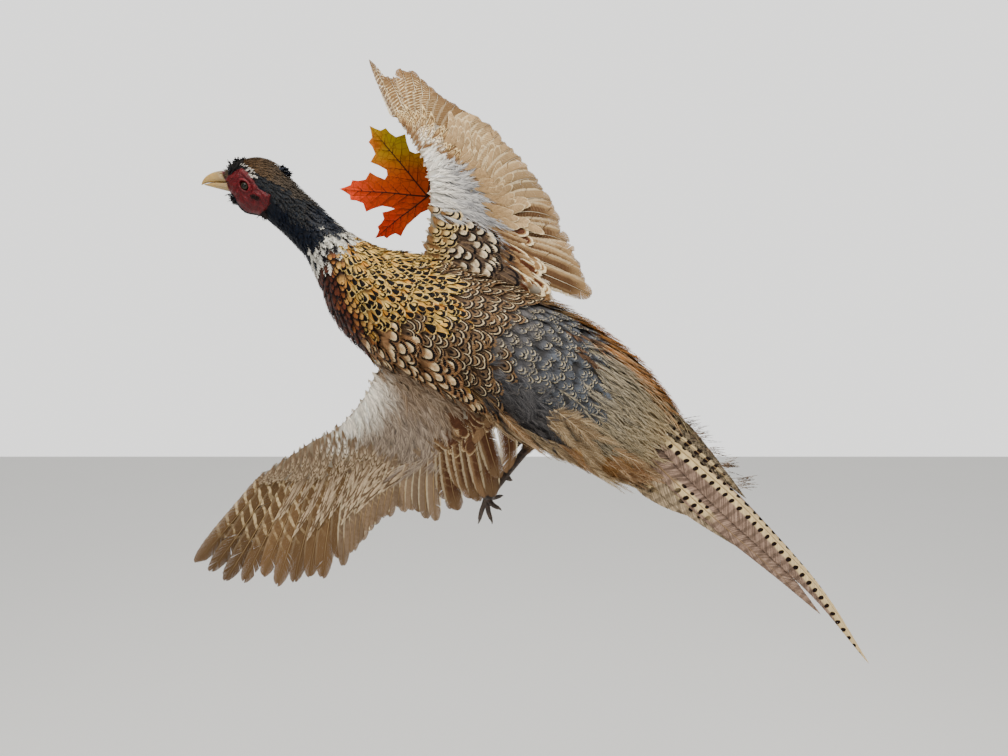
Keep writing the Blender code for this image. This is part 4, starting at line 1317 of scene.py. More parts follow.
dun_covert = looped_feather("dun_covert", ((-0.3, 0.76, (0.075, 0.03, 0.014)),
                                           (0.9, 1.3, (0.46, 0.33, 0.18))),
                            (0.12, 0.06, 0.03), 0.25, 0.25)
buff_covert = looped_feather("buff_covert", ((0.86, 1.3, (0.62, 0.47, 0.27)),), (0.3, 0.19, 0.09), 0.3)
under_covert = loose_feather("under_covert", (0.3, 0.24, 0.17), (0.66, 0.58, 0.46))
UNDER_TINT = (0.5, 0.42, 0.31)
WING_COVERTS = {    # each wing's kinds, with finish and tint
    "right": {
        "tipped": (cream_tipped, (0.105, 0.066, 0.042)), "front": (golden_covert, (0.66, 0.46, 0.18)),
        "grey": (slate_covert, (0.43, 0.42, 0.41)), "hand": (pale_covert, (0.44, 0.28, 0.12)),
        "long": (chestnut_covert, (0.3, 0.17, 0.07)), "rear": (buff_covert, (0.38, 0.25, 0.125)),
        "under": (under_covert, UNDER_TINT),
    },
    # The left wing hangs lower and faces down, away from the overhead light: most of its tints are darker
    # than the right wing's, partly painted shade and partly its own duller plumage.
    "left": {
        "tipped": (cream_tipped, (0.24, 0.11, 0.04)), "front": (golden_covert, (0.3, 0.17, 0.07)),
        "grey": (dusky_covert, (0.26, 0.2, 0.155)), "hand": (brown_covert, (0.42, 0.31, 0.195)),
        "long": (dun_covert, (0.2, 0.115, 0.055)), "under": (under_covert, UNDER_TINT),
    },
}
COVERT_SHAPES = {   # coarseness, length and half width in pitches, wander, and the shape of the vane
    "tipped": (1.75, 2.5, 0.74, 0.15, dict(strips=14, fray=0.3, ruffle=0.35, widest=0.62, hold=3.0)),
    "front": (1.75, 2.3, 0.84, 0.16, dict(strips=12, fray=0.3, ruffle=0.35, hold=3.0)),
    "grey": (1.0, 4.8, 0.8, 0.16, dict(strips=10, fray=0.97, ruffle=0.5, ragged=0.4, slant=3.4,
                                       point=1.3, lift=0.12, cup=0.05, widest=0.4)),
    "long": (1.9, 3.1, 0.62, 0.12, dict(strips=24, fray=0.2, ragged=0.1, hold=6.0, point=1.9, cup=0.1)),
    "rear": (1.0, 5.6, 0.56, 0.06, dict(strips=20, fray=0.2, ruffle=0.3, ragged=0.1, hold=6.0, cup=0.1)),
    "hand": (1.15, 5.2, 0.44, 0.1, dict(strips=14, fray=0.4, ragged=0.2, ruffle=0.5, slant=1.8,
                                        point=1.6, hold=3.0)),
    "under": (1.25, 3.6, 0.7, 0.2, dict(strips=8, steps=2, fray=0.8, ruffle=0.6, ragged=0.3, slant=1.6,
                                        point=1.6)),
}
REAR_RISE = 1.0 * MM                                # the last row lies over the soft grey ones
WING_ZONES = {      # where the cream-tipped and the grey part end: share at the front edge and the back
    "right": ((0.27, 0.2), (0.64, 0.27)),
    "left": ((-0.04, -0.08), (0.52, 0.32)),
}
WHITE_EDGE = (1.0, 0.93, 0.79)                      # along the front of the forearm
SLATY, BROWN = (0.168, 0.173, 0.19), (0.16, 0.095, 0.05)    # what the grey ones turn to, right and left
WRIST = 0.62                                        # share of the wing where the arm bends to the hand
QUILL_LEAN = {"right": 0.25, "left": 0.02}          # how far quills next to the body lean towards it
HAND_REACH = {"right": 34, "left": 46}              # how far back the hand's coverts go, in millimetres
FRONT_ROWS = 14                                     # how far back the golden ones go, in millimetres
TIP_RUN = 1.95                                      # a whole quill's tip, where 2 is the wing's edge
skin_marks = [(roots, tint)]                        # places, and what colour the skin is there


def quill_root(wing, tip_share):
    """Share of the wing where a quill is rooted: towards the wrist from its tip."""
    lean = QUILL_LEAN[wing]
    arm = (tip_share + lean) / (1 + lean / WRIST)
    order = (tip_share - WRIST) / (1 - WRIST)
    return np.where(tip_share < WRIST, arm, WRIST + (tip_share - WRIST) * (0.5 + 0.5 * order))


def quill_heading(wing, surface, run, share):
    """Which way a feather at a place on the wing points, to lie along the quills below it."""
    lean = QUILL_LEAN[wing] * np.clip(1 - share / WRIST, 0, 1)
    way = surface(np.full(len(run), TIP_RUN), share - lean) - surface(run, share)
    along, around = (unit(step) for step in gradients(surface, run, share))
    skew = (along * around).sum(-1)
    forward, sideways = (way * along).sum(-1), (way * around).sum(-1)
    return np.arctan2(sideways - skew * forward, forward - skew * sideways)


def covert_zone(wing, run, share):
    """Which kind of covert grows at each place, with ragged borders between kinds."""
    (front_one, back_one), (front_two, back_two) = WING_ZONES[wing]
    blurred = share + chance.normal(0, 0.018, len(run))
    near_body = blurred < front_one + (back_one - front_one) * run
    on_hand = blurred > front_two + (back_two - front_two) * run
    return np.where(near_body, "tipped", np.where(on_hand, "hand", "grey"))


def wing_coverts(wing, name):
    """One kind of covert, wherever it grows on a wing."""
    finish, colour = WING_COVERTS[wing][name]
    coarse, size, breadth, wander, shape = COVERT_SHAPES[name]
    face = UNDER if name == "under" else OVER
    run, share, gap = scatter_wing(wing, face, coarse)
    colours = np.tile(colour, (len(run), 1))
    chosen = np.full(len(run), True)

    def blur(amount):
        return chance.normal(0, amount, len(run))

    if face == OVER:
        leading, coverts, _ = wing_lines(wing, share)
        back = np.linalg.norm(coverts - leading, axis=1) * run / MM
        zone = covert_zone(wing, run, share)
        reach = HAND_REACH[wing] * (1 - 0.75 * soft_step(share, 0.55, 1.0))
        reach = reach * chance.uniform(0.8, 1.2, len(run))
        zone[(zone == "hand") & (share > WRIST - 0.05) & (back > reach)] = "none"
        zone[(zone == "tipped") & (back < FRONT_ROWS + blur(3))] = "front"
        if wing == "right":
            zone[(zone == "tipped") & (run > 0.64 + blur(0.04))] = "long"
            zone[(zone == "grey") & (run > 0.4 + share + blur(0.04))] = "long"
            zone[(zone != "tipped") & (share > 0.3) & (share < WRIST) & (run > 0.62 + blur(0.03))] = "rear"
        else:
            zone[(zone == "grey") & (run > 0.6 + share) & (share < 0.2)] = "long"
        chosen = zone == name
        front_one, front_two = WING_ZONES[wing][0][0], WING_ZONES[wing][1][0]
        edge = (1 - soft_step(back + blur(2), 4, 24)) * soft_step(share, front_one - 0.05, front_one + 0.1)
        edge = edge * (1 - soft_step(share, front_two, front_two + 0.15))
        colours = colours + (np.array(WHITE_EDGE) - colours) * edge[:, None]
    if name == "grey" and wing == "right":
        slaty = soft_step(run + blur(0.05), 0.25, 0.7)
        colours = colours + (np.array(SLATY) - colours) * slaty[:, None] * 0.9
    if name == "grey" and wing == "left":
        brown = 1 - soft_step(share + blur(0.03), 0.02, 0.2)
        colours = colours + (np.array(BROWN) - colours) * brown[:, None]
    run, share, gap, colours = run[chosen], share[chosen], gap[chosen], colours[chosen]

    def surface(run, share, height=0.0):
        return wing_point(wing, face, run, share, height)

    skin_marks.append((surface(run, share), colours))
    home = np.stack([0.03 + 0.94 * (share - INNERMOST) / (1 - INNERMOST), 0.03 + 0.94 * run], -1)
    length = gap * size * chance.normal(1, 0.08, len(run)) * (1 - 0.6 * soft_step(share, 0.78, 1.0))
    high = WING_COAT * (0.75 + 0.3 * run) + blur(0.2) * MM
    heading = quill_heading(wing, surface, run, share) + blur(wander)
    rise = REAR_RISE if name == "rear" else 0
    lines = lay(surface, run, share, heading, length, 0.2 * MM + rise, high + rise)
    plumes = Plumes()
    plumes.vanes(lines, gap * breadth, vary(colours, 0.1), home, **shape)
    if name == "hand":
        plumes.shafts(lines, 0.25 * MM, colours, home)
    stand_piece(f"coverts_{wing}_{name}", plumes.mesh("coverts"), finish)


for wing in WINGS:
    for name in WING_COVERTS[wing]:
        wing_coverts(wing, name)

# The cream-tipped coverts run on over the bird's left side, up to the edge of its mantle.
SHOULDER_ONES = 0.44                                # the share of roots that carry one
shoulder = (tract == "shoulder") & (chance.random(len(at)) < SHOULDER_ONES)
tint[shoulder] = (0.32, 0.16, 0.07)
golden_oval = tipped_covert("golden_oval", (0.8, 0.64, 0.38), (0.45, 0.18, 0.03), 0.52, 0.05)
body_coat("coat_shoulder", shoulder, golden_oval, size=4.2, breadth=1.26, strips=14, fray=0.3,
          ruffle=0.35, widest=0.62, hold=3.0, high=1.25, heading=0.2, wander=0.16)

# ---- Flight feathers -------------------------------------------------------------------------------
# The long quills of each wing, rooted in its bones and spread like a fan, each with its outer edge
# over the next. They are old and faded: barred on the hand, plain buff behind the forearm, and loose
# and cream-edged next to the body.


def fan_lines(wing, root_share, tip_share, root_run, tip_run, bow, rows=25):
    """Middle lines of quills between a place on the arm and one at the tips."""
    share = np.linspace(0, 1, rows)
    places = root_share[:, None] + (tip_share - root_share)[:, None] * share ** 0.8
    runs = root_run + (np.broadcast_to(tip_run, root_share.shape)[:, None] - root_run) * share
    leading, coverts, tips = wing_lines(wing, places)
    normal = wing_normal(wing, places)
    arm, beyond = np.minimum(runs, 1)[..., None], np.maximum(runs - 1, 0)[..., None]
    centre = leading + (coverts - leading) * arm + (tips - coverts) * beyond
    centre = centre + normal * (2.5 * MM * 4 * beyond * (1 - beyond))
    tangent = unit(np.gradient(centre, axis=1))
    side = unit(np.cross(normal, tangent))
    outer = unit(wing_lines(wing, tip_share)[0] - wing_lines(wing, tip_share - 0.05)[0])
    side = side * np.sign((side[:, -1] * outer).sum(-1))[:, None, None]
    arch = (share * (1 - share) * 4)[None, :, None] * np.asarray(bow).reshape(-1, 1, 1)
    upright = np.cross(tangent, side)
    return centre + side * arch, side, upright * np.sign((upright * normal).sum(-1))[..., None]


QUILL_LENGTH = 120 * MM                             # bars are counted along quills of this length


def quill_feather(name, bars, fades, period, shaft, rim_pale, core):
    """A faded quill: broken cream bars slant across a brown ground, with a pale shaft, a paler rim
    and, next to the body, a dark core. Bars are strongest on the quills nearest the wing's tip."""
    made = Barbs(name, Roughness=0.6)
    out = abs(made.across)
    colour = made.mix(made.strand * 0.5, made.ground, made.tint(made.ground, 0.55))
    inner = (0.58 - out + made.noise(150, 2) * 0.2).rise(0.0, 0.3)
    colour = made.mix(inner * (1 - made.along.rise(0.74, 0.95)) * core, colour, (0.065, 0.022, 0.009))
    place = made.along * QUILL_LENGTH + out * 7 * MM + made.noise(110, 2) * 5 * MM
    band = (place * (2 * math.pi / period) + made.own * 40.0).wave().rise(0.45, 0.85)
    broken = 0.35 + made.noise(230, 2).rise(0.42, 0.54) * 0.65
    shown = made.along.rise(0.08, 0.2) * (1 - made.along.rise(*fades)) * broken
    shown = shown * (0.15 + made.own.rise(0.1, 0.6))
    colour = made.mix(band * shown * bars, colour, (0.76, 0.58, 0.32))
    mottle = made.noise(320, 3).rise(0.5, 0.66) * made.own.rise(0.0, 0.5) * 0.35
    colour = made.mix(mottle, colour, (0.09, 0.05, 0.022))
    outer = (made.across * -1).rise(-0.2, 0.2)
    wavy = out + made.noise(170, 2) * 0.16 - 0.08
    colour = made.mix(wavy.rise(0.7, 0.82) * rim_pale * (0.35 + outer * 0.65), colour, (0.88, 0.74, 0.48))
    colour = made.mix(wavy.rise(0.54, 0.64) * (1 - wavy.rise(0.68, 0.76)) * outer * 0.7, colour,
                      (0.1, 0.055, 0.025))
    colour = made.mix((1 - out.rise(0.04, 0.14)) * 0.6, colour, (0.07, 0.035, 0.015))
    colour = made.mix(1 - made.rim.rise(-0.6, -0.4), colour, shaft)
    made.feed(Base_Color=made.strands(colour, 0.3, 0.2, 5000.0))
    return made


QUILLS = {      # first and last share of the wing, number, half width, bars, pale rim, dark core, tint
    ("right", "tertials"): (0.0, 0.25, 11, 10.5 * MM, 0.1, 0.9, 0.8, (0.38, 0.24, 0.115)),
    ("right", "secondaries"): (0.27, 0.6, 13, 10 * MM, 0.5, 1.0, 0.1, (0.38, 0.25, 0.125)),
    ("right", "primaries"): (0.635, 0.985, 10, 8.5 * MM, 0.85, 0.5, 0.0, (0.19, 0.105, 0.042)),
    # The left wing's quills are darker than the right wing's: partly painted shade on the lower wing, which
    # faces away from the light, and partly their own duller colour.
    ("left", "tertials"): (0.0, 0.24, 10, 9.5 * MM, 0.1, 0.9, 0.9, (0.2, 0.115, 0.055)),
    ("left", "secondaries"): (0.27, 0.61, 15, 7 * MM, 0.3, 1.0, 0.1, (0.23, 0.155, 0.095)),
    ("left", "primaries"): (0.635, 0.985, 10, 9.5 * MM, 0.62, 0.2, 0.0, (0.15, 0.085, 0.038)),
}
BARRING = {     # where bars fade along a quill, from bar to bar, and the shaft's colour
    "right": ((0.8, 0.95), 4.6 * MM, (0.85, 0.74, 0.52)),
    # The left shafts are darker than the right ones: partly painted shade on the lower wing.
    "left": ((0.62, 0.86), 9.0 * MM, (0.42, 0.28, 0.13)),
}
WEAR = {        # crowding towards the wing's tip, stray in millimetres, the shortest, and unevenness
    "right": (1.0, 3, 0.1, 0.02),
    "left": (0.88, 9, 0.4, 0.045),
}
for (wing, kind), (first, last, number, half_width, bars, rim_pale, core, colour) in QUILLS.items():
    crowding, stray, shortest, uneven = WEAR[wing]
    order = np.linspace(0, 1, number)
    tip_share = first + (last - first) * order ** crowding
    loose = kind == "tertials"
    fingers = wing == "right" and kind == "primaries"
    if fingers:                                     # the last two stand apart from the rest
        tip_share[:-2] = first + (last - first) * np.linspace(0, 0.7, number - 2)
        tip_share[-2] = first + (last - first) * 0.88
    root_share = quill_root(wing, tip_share)
    root_run, swing = 0.5, 5 * MM
    if kind == "primaries":
        root_run, swing = 0.3, swing * (1 - order)
    if loose:
        swing = chance.normal(0, stray, number) * MM
        tip_run = TIP_RUN - chance.uniform(0, shortest, number)
    else:
        tip_run = TIP_RUN + chance.normal(0, uneven, number)
    if fingers:
        tip_run[-2] = 1.62
    lines = fan_lines(wing, root_share, tip_share, root_run, tip_run, swing)
    colours = vary(np.broadcast_to(colour, (number, 3)), 0.14)
    home = np.stack([0.1 + 0.8 * np.arange(number) / number, np.full(number, 0.5)], -1)
    finish = quill_feather(f"quill_{wing}_{kind}", bars, *BARRING[wing], rim_pale, core)
    pointed = fingers & (np.arange(number) == number - 1)
    grow(f"quills_{wing}_{kind}", lines, half_width * np.where(fingers & ~pointed, 1.2, 1.0), colours, home,
         finish, (0.5 if loose else 0.75) * MM, "flight_feathers", [f"wing_{wing}_{kind}"], strips=88,
         steps=4, widest=np.where(pointed, 0.45, 0.7), base=0.5, point=np.where(pointed, 1.35, 2.4),
         slant=0.9, fray=0.2 if loose else 0.12, ruffle=0.4, ragged=0.08 if loose else 0.06, cup=0.12,
         tilt=0.14, hold=14, own=order)

# ---- Tail ------------------------------------------------------------------------------------------
# Six of the long tail quills are left, stacked and rooted in the tail's stump. The middle pair is
# cream with black bars, and hair-like brown edges.

TAIL_TIP = np.array((412, -85, -340)) * MM
TAIL_LAYER = 1.6 * MM
# Path back and to the left, half width to its left and right, and layer, all in millimetres; then
# the cream's reach to its left and right, where it fades along the feather, and the colour of the rest.
PURPLE, DUSKY, FADED = (0.3, 0.2, 0.145), (0.22, 0.17, 0.11), (0.4, 0.3, 0.19)
TAIL = {
    "tail_centre_upper": (((-9, -11), (0, -12), (60, -17), (120, -20), (233, -17), (331, 0)), (20, 5.5), 2,
                          (6, 4), (-1, 0, 1.2, 1.4), PURPLE),
    "tail_centre_lower": (((-9, 12), (0, 13), (60, 11), (107, 8), (190, 2), (252, 0)), (9, 20), 1,
                          (6, 3), (0.16, 0.22, 0.34, 0.42), PURPLE),
    "tail_right_inner": (((-9, -20), (0, -22), (60, -28), (108, -29)), (9, 9), 0,
                         (1, 2), (-1, 0, 0.5, 0.9), DUSKY),
    "tail_left_inner": (((-9, 20), (0, 20), (77, 15), (163, 4)), (12, 11), 0,
                        (4, 3), (0.3, 0.4, 0.5, 0.6), FADED),
    "tail_right_outer": (((-9, -29), (0, -31), (35, -33), (66, -35)), (8, 8), -1,
                         (1, 2), (-1, 0, 0.5, 0.9), DUSKY),
    "tail_left_outer": (((-9, 30), (0, 31), (40, 28), (80, 21)), (13, 11), -1,
                        (4, 4), (-1, 0, 0.35, 0.5), FADED),
}
BLOB_STEP, BLOB_ACROSS, BLOB_ALONG = 10.5, 2.9, 2.2     # millimetres: from bar to bar, and its half sizes
tail_root = body_centres[TAIL_ROOT]
tail_along = unit(TAIL_TIP - tail_root)
tail_left = body_point(np.array([float(TAIL_ROOT)]), np.array([0.0]))[0] - tail_root
tail_across = unit(tail_left - tail_along * (tail_left @ tail_along))
tail_out = np.cross(tail_across, tail_along)
tail_out = tail_out * np.sign(tail_out @ OUTWARD)


def tail_feather(name, length, sides, cream, fades, hairs, mottled):
    """A cream band with short black bars along its left side, between wavy, hairy brown vanes."""
    made = Barbs(name, Roughness=0.55)
    right = made.across.rise(-0.001, 0.001)
    out = made.across * (sides[0] + right * (sides[1] - sides[0])) + made.noise(160, 2) * 1.6 - 0.8
    turns = 2 * math.pi / BLOB_STEP
    place = made.along * (length / MM) + made.noise(90, 2) * 3.0 - out * 0.35
    beat = (place * turns).wave()
    edge = made.mix(made.strand.rise(0.1, 0.9), made.tint(hairs, 0.75), made.tint(hairs, 1.3))
    edge = made.mix(beat.rise(-0.2, 0.9) * 0.6, edge, made.tint(hairs, 0.4))
    netted = made.noise(420, 2).rise(0.5, 0.56) * mottled
    edge = made.mix(netted, edge, made.tint(hairs, 0.2))
    band = out.rise(-cream[0] - 1, -cream[0] + 1) * (1 - out.rise(cream[1] - 1, cream[1] + 1))
    shown = made.along.rise(*fades[:2]) * (1 - made.along.rise(*fades[2:]))
    colour = made.mix(band * shown, edge, (0.74, 0.56, 0.29))
    step = 2 / (turns * BLOB_ALONG) ** 2
    blob = 0
    for middle, half in ((cream[0] * -0.7, BLOB_ACROSS), (cream[1] * 1.0, BLOB_ACROSS * 0.6)):
        aside = (out - middle) * (1 / half)
        blob = blob + (1 - ((1 - beat) * step + aside * aside).rise(0.75, 1.25))
    colour = made.mix(blob * shown * made.along.rise(0.02, 0.05), colour, (0.012, 0.006, 0.005))
    colour = made.mix((1 - made.rim.rise(-0.6, -0.4)) * 0.7, colour, (0.36, 0.23, 0.11))
    made.feed(Base_Color=made.strands(colour, 0.3, 0.12, 7000.0))
    return made


TAIL_ROWS = 49                                      # points along a shaft
for name, (path, sides, layer, cream, fades, hairs) in TAIL.items():
    path = np.array(path, float) * MM
    gaps = np.concatenate([[0], np.cumsum(np.linalg.norm(np.diff(path, axis=0), axis=1))])
    line = smooth(path, np.interp(np.linspace(0, gaps[-1], TAIL_ROWS), gaps, np.arange(len(path))))
    centre = (tail_root + tail_along * line[:, :1] + tail_across * line[:, 1:]
              + tail_out * layer * TAIL_LAYER)[None]
    tangent = unit(np.gradient(centre, axis=1))
    side = unit(np.cross(np.broadcast_to(tail_out, centre.shape), tangent))
    upright = np.cross(tangent, side)
    upright = upright * np.sign(upright @ tail_out)[..., None]
    length = float(line[-1, 0])
    home = np.array([[0.5, 0.5]])
    plumes = Plumes()
    for depth, fray, ragged in ((0, 0.25, 0.4), (0.5 * MM, 0.0, 0.04)):
        plumes.vanes((centre - upright * depth, side, upright), np.array([1 * MM]), np.array([hairs]), home,
                     strips=int(length / (1.1 * MM)), steps=6, widest=0.35, base=0.5, point=1.15, slant=16,
                     fray=fray, ragged=ragged, ruffle=fray * 0.6, cup=0.0, hold=4.0, uneven=sides)
    plumes.shafts((centre, side, upright), 0.8 * MM, np.array([hairs]), home)
    finish = tail_feather(name.replace("tail", "barred"), length, sides, cream, fades, hairs,
                          0.9 if hairs == DUSKY else 0.2)
    stand_piece(name.replace("tail", "tail_quill"), plumes.mesh("tail"), finish, [name])

# Loose hairs stand off the right edge of the two small outer feathers.
LOOSE_HAIRS = 130
hair_along = chance.choice((4, 20, 44, 66, 92), LOOSE_HAIRS)[:, None]
hair_along = hair_along + chance.normal(0, 4, (LOOSE_HAIRS, 1))
hair_across = -34 + chance.normal(0, 2.5, (LOOSE_HAIRS, 1))
hair_root = tail_root + (tail_along * hair_along + tail_across * hair_across) * MM
tufts("tufts_tail", hair_root, np.tile(tail_out, (LOOSE_HAIRS, 1)),
      stray_ways(LOOSE_HAIRS, tail_along * 0.8 - tail_across * 0.8, 0.2),
      chance.uniform(8, 21, LOOSE_HAIRS) * MM, 0.35 * MM,
      gradient(chance.random(LOOSE_HAIRS), (0.05, 0.03, 0.02), (0.26, 0.18, 0.12)), crown_feather, 0.12)

# ---- Eyes ------------------------------------------------------------------------------------------
# Glass eyes: half balls of clear glass, painted behind with a black pupil and a dark brown iris, and
# set in the clay of the sockets so that the lids close over their edges.


def eye_mesh(side):
    shape = bmesh.new()
    bmesh.ops.create_uvsphere(shape, u_segments=48, v_segments=32, radius=EYE_RADIUS)
    bmesh.ops.rotate(shape, verts=shape.verts, cent=(0, 0, 0),
                     matrix=Matrix.Rotation(math.pi / 2, 3, "X"))
    mesh = bpy.data.meshes.new("eye")
    shape.to_mesh(mesh)
    shape.free()
    points = coordinates(mesh)
    gaze = np.degrees(np.arccos(np.clip(points[:, 1] * side / EYE_RADIUS, -1, 1)))
    cornea = 0.35 * MM * np.exp(-(gaze / 30) ** 2)
    points = points * (1 + cornea / EYE_RADIUS)[:, None]
    points += EYE_CENTRE + np.array((0, side * EYE_SPREAD, 0))
    mesh.vertices.foreach_set("co", points.astype(np.float32).ravel())
    tell(mesh, "gaze", gaze)
    mesh.shade_smooth()
    return mesh


def eye_glass():
    glass = Finish("eye_glass", Roughness=0.06, Specular_IOR_Level=0.25)
    gaze = glass.attribute("gaze")
    flecks = glass.noise(900, 3)
    iris = glass.mix(flecks, (0.02, 0.015, 0.009), (0.06, 0.05, 0.03))
    colour = glass.mix(gaze.rise(17, 30), (0.006, 0.006, 0.005), iris)
    glass.feed(Base_Color=glass.mix(gaze.rise(42, 48), colour, (0.006, 0.004, 0.004)))
    return glass


glass_eye = eye_glass()
for side, direction in (("left", -1), ("right", 1)):
    stand_piece(f"glass_eye_{side}", eye_mesh(direction), glass_eye, [f"eye_{side}"])

# ---- Bill ------------------------------------------------------------------------------------------
# Two halves of pale horn. The upper one overhangs the lower along its cutting edge, hooks down at its
# tip and has a nostril under a soft flap near its root.

BILL_ROOT = -199.4
UPPER_BILL = (      # place, middle height, half width, rise to the ridge and fall to the cutting edge
    (BILL_ROOT, 137.0, 5.8, 4.6, 4.9), (-206, 137.8, 5.2, 4.3, 5.4), (-213, 137.0, 4.0, 3.6, 4.6),
    (-218.5, 135.0, 2.6, 2.6, 3.1), (-221.6, 132.6, 1.3, 1.5, 1.9), (-222.8, 130.8, 0.5, 0.6, 0.6))
LOWER_BILL = (
    (BILL_ROOT, 128.2, 5.2, 3.7, 3.4), (-206, 129.0, 4.4, 3.2, 2.6), (-213, 129.9, 3.0, 2.2, 1.7),
    (-218, 130.4, 1.7, 0.9, 0.9), (-220.2, 130.6, 0.6, 0.4, 0.4))
NOSTRIL = (-203.6, 138.4)
INTO_HEAD = 5.0


def ring_faces(rings, around):
    """Faces between neighbouring rings of points, and one at each end."""
    number = np.arange(rings * around).reshape(rings, around)
    near, far = number[:-1], number[1:]
    faces = np.stack([near, np.roll(near, -1, 1), np.roll(far, -1, 1), far], -1)
    return faces.reshape(-1, 4).tolist() + [number[0][::-1].tolist(), number[-1].tolist()]


def closed_mesh(name, points, faces):
    """A mesh whose faces all look outwards."""
    mesh = bpy.data.meshes.new(name)
    mesh.from_pydata(points.reshape(-1, 3).tolist(), [], faces)
    shape = bmesh.new()
    shape.from_mesh(mesh)
    bmesh.ops.recalc_face_normals(shape, faces=shape.faces)
    shape.to_mesh(mesh)
    shape.free()
    mesh.shade_smooth()
    return mesh


def bill_mesh(rows, upper):
    """Sections from inside the head to the tip, ridged above and sharp along the cutting edge."""
    around, steps = 48, 56
    table = smooth(np.array(rows, float), np.linspace(0, len(rows) - 1, steps))
    table = np.concatenate([table[:1] + [[INTO_HEAD, 0, 0.4, 0.2, 0.2]], table])
    turn = np.linspace(0, 2 * math.pi, around, endpoint=False)
    wide, tall = np.cos(turn), np.sin(turn)
    facing = tall if upper else -tall               # away from the cutting edge
    wide = np.sign(wide) * np.abs(wide) ** 0.8 * (1 - 0.22 * np.clip(facing, 0, 1) ** 2)
    tall = np.where(facing < 0, np.sign(tall) * np.abs(tall) ** 0.5, tall)
    x = np.repeat(table[:, :1], around, 1)
    y = EYE_CENTRE[1] / MM + table[:, 2:3] * wide
    z = table[:, 1:2] + np.where(tall > 0, table[:, 3:4], table[:, 4:5]) * tall
    if upper:
        from_nostril = np.hypot((x - NOSTRIL[0]) / 2.6, (z - NOSTRIL[1]) / 1.1)
        dent = 0.9 * np.exp(-from_nostril ** 2 * 1.4) - 0.45 * np.exp(-((from_nostril - 1.25) / 0.3) ** 2)
        y = y - np.sign(wide) * dent * (np.abs(wide) > 0.3)
    points = np.stack([x, y, z], -1) * MM
    return closed_mesh("bill", points, ring_faces(len(table), around))


def pale_horn():
    horn = Finish("pale_horn", Roughness=0.38, Subsurface_Weight=0.12, Subsurface_Scale=1.2 * MM)
    x, _, z = horn.parts(horn.place())
    growth = horn.noise(330, 3, horn.place((1.0, 1.0, 4.0)))
    stains = horn.noise(240, 4)
    base = (x + stains * 0.006).rise(-0.210, -0.2)
    top = (z - stains * 0.002).rise(0.136, 0.1405)
    colour = horn.mix(growth, (0.36, 0.215, 0.06), (0.49, 0.325, 0.11))
    colour = horn.mix(base * 0.6, colour, (0.27, 0.19, 0.1))
    colour = horn.mix(base * top * 0.7, colour, (0.13, 0.09, 0.045))
    colour = horn.mix(stains.rise(0.6, 0.75) * 0.4, colour, (0.2, 0.13, 0.06))
    flesh = (x + (z - 0.14) * 0.38 + (stains - 0.5) * 0.003).rise(-0.2036, -0.2026)
    colour = horn.mix(flesh, colour, horn.mix(growth, (0.15, 0.002, 0.005), (0.06, 0.001, 0.003)))
    horn.feed(Base_Color=colour)
    horn.bump(growth + stains * 0.6, 0.16 * MM)
    return horn


horn = pale_horn()
stand_piece("horn_upper", bill_mesh(UPPER_BILL, True), horn, ["bill_upper"])
stand_piece("horn_lower", bill_mesh(LOWER_BILL, False), horn, ["bill_lower"])

# ---- Legs ------------------------------------------------------------------------------------------
# Dry dark legs. Broad scales overlap down the front of the shank and over each toe, with fine ones
# behind; a short spur grows from the shank, and each toe ends in a claw.

LEGS = {        # hip, ankle, foot and the tips of its toes
    "left": ((86, -112, -72), (60, -97, -114), (25, -114, -153),
             ((12, -111, -186), (26, -122, -183), (35, -128, -168), (37, -103, -160))),
    "right": ((104, -86, -50), (96, -62, -84), (62, -48, -110),
              ((36, -38, -124), (38, -50, -128), (46, -58, -124), (72, -42, -124))),
}
THIGH_RADII = np.array((19, 17, 9, 4.5)) * MM
SHANK_RADIUS, ANKLE_RADIUS, TOE_RADIUS = 4.4 * MM, 4.9 * MM, 2.5 * MM
TOE_BEND = 1.5 * MM
SPUR_LENGTH = 4.6 * MM
SCALE_PITCH = 2.6 * MM


def scaled_tube(points, radii, front, pitch=SCALE_PITCH, around=28, depth=0.28 * MM):
    """A round limb on a smooth line, with overlapping scales down the side that faces front."""
    points = np.array(points)
    length = np.linalg.norm(np.diff(points, axis=0), axis=1).sum()
    steps = max(int(length / (0.45 * MM)), 8)
    place = np.linspace(0, len(points) - 1, steps)
    centre, radius = smooth(points, place), smooth(radii, place)
    tangent = unit(np.gradient(centre, axis=0))
    ahead = unit(front - tangent * (tangent @ front)[:, None])
    across = np.cross(tangent, ahead)
    turn = np.linspace(0, 2 * math.pi, around, endpoint=False)
    along = np.linspace(0, length, steps)[:, None]
    facing = soft_step(np.cos(turn), -0.35, 0.25)
    saw = (along / pitch + 0.25 * np.abs(np.sin(turn))) % 1
    plate = (saw - 0.5) * facing
    small = np.sin(along / pitch * 4 * math.pi) * np.sin(turn * 6 + along / pitch * math.pi) * 0.4
    swell = radius[:, None] + depth * (plate + small * (1 - facing))
    rings = centre[:, None] + swell[..., None] * (ahead[:, None] * np.cos(turn)[:, None]
                                                 + across[:, None] * np.sin(turn)[:, None])
    groove = (1 - soft_step(saw, 0.0, 0.18)) * facing
    return rings.reshape(-1, 3), ring_faces(steps, around), groove.ravel()


def joined(name, tubes):
    """Several limbs in one mesh, which says how deep in a groove each point lies."""
    points, faces, grooves, total = [], [], [], 0
    for more_points, more_faces, groove in tubes:
        points.append(more_points)
        faces += [[corner + total for corner in face] for face in more_faces]
        grooves.append(groove)
        total += len(more_points)
    mesh = closed_mesh(name, np.concatenate(points), faces)
    tell(mesh, "groove", np.concatenate(grooves))
    return mesh


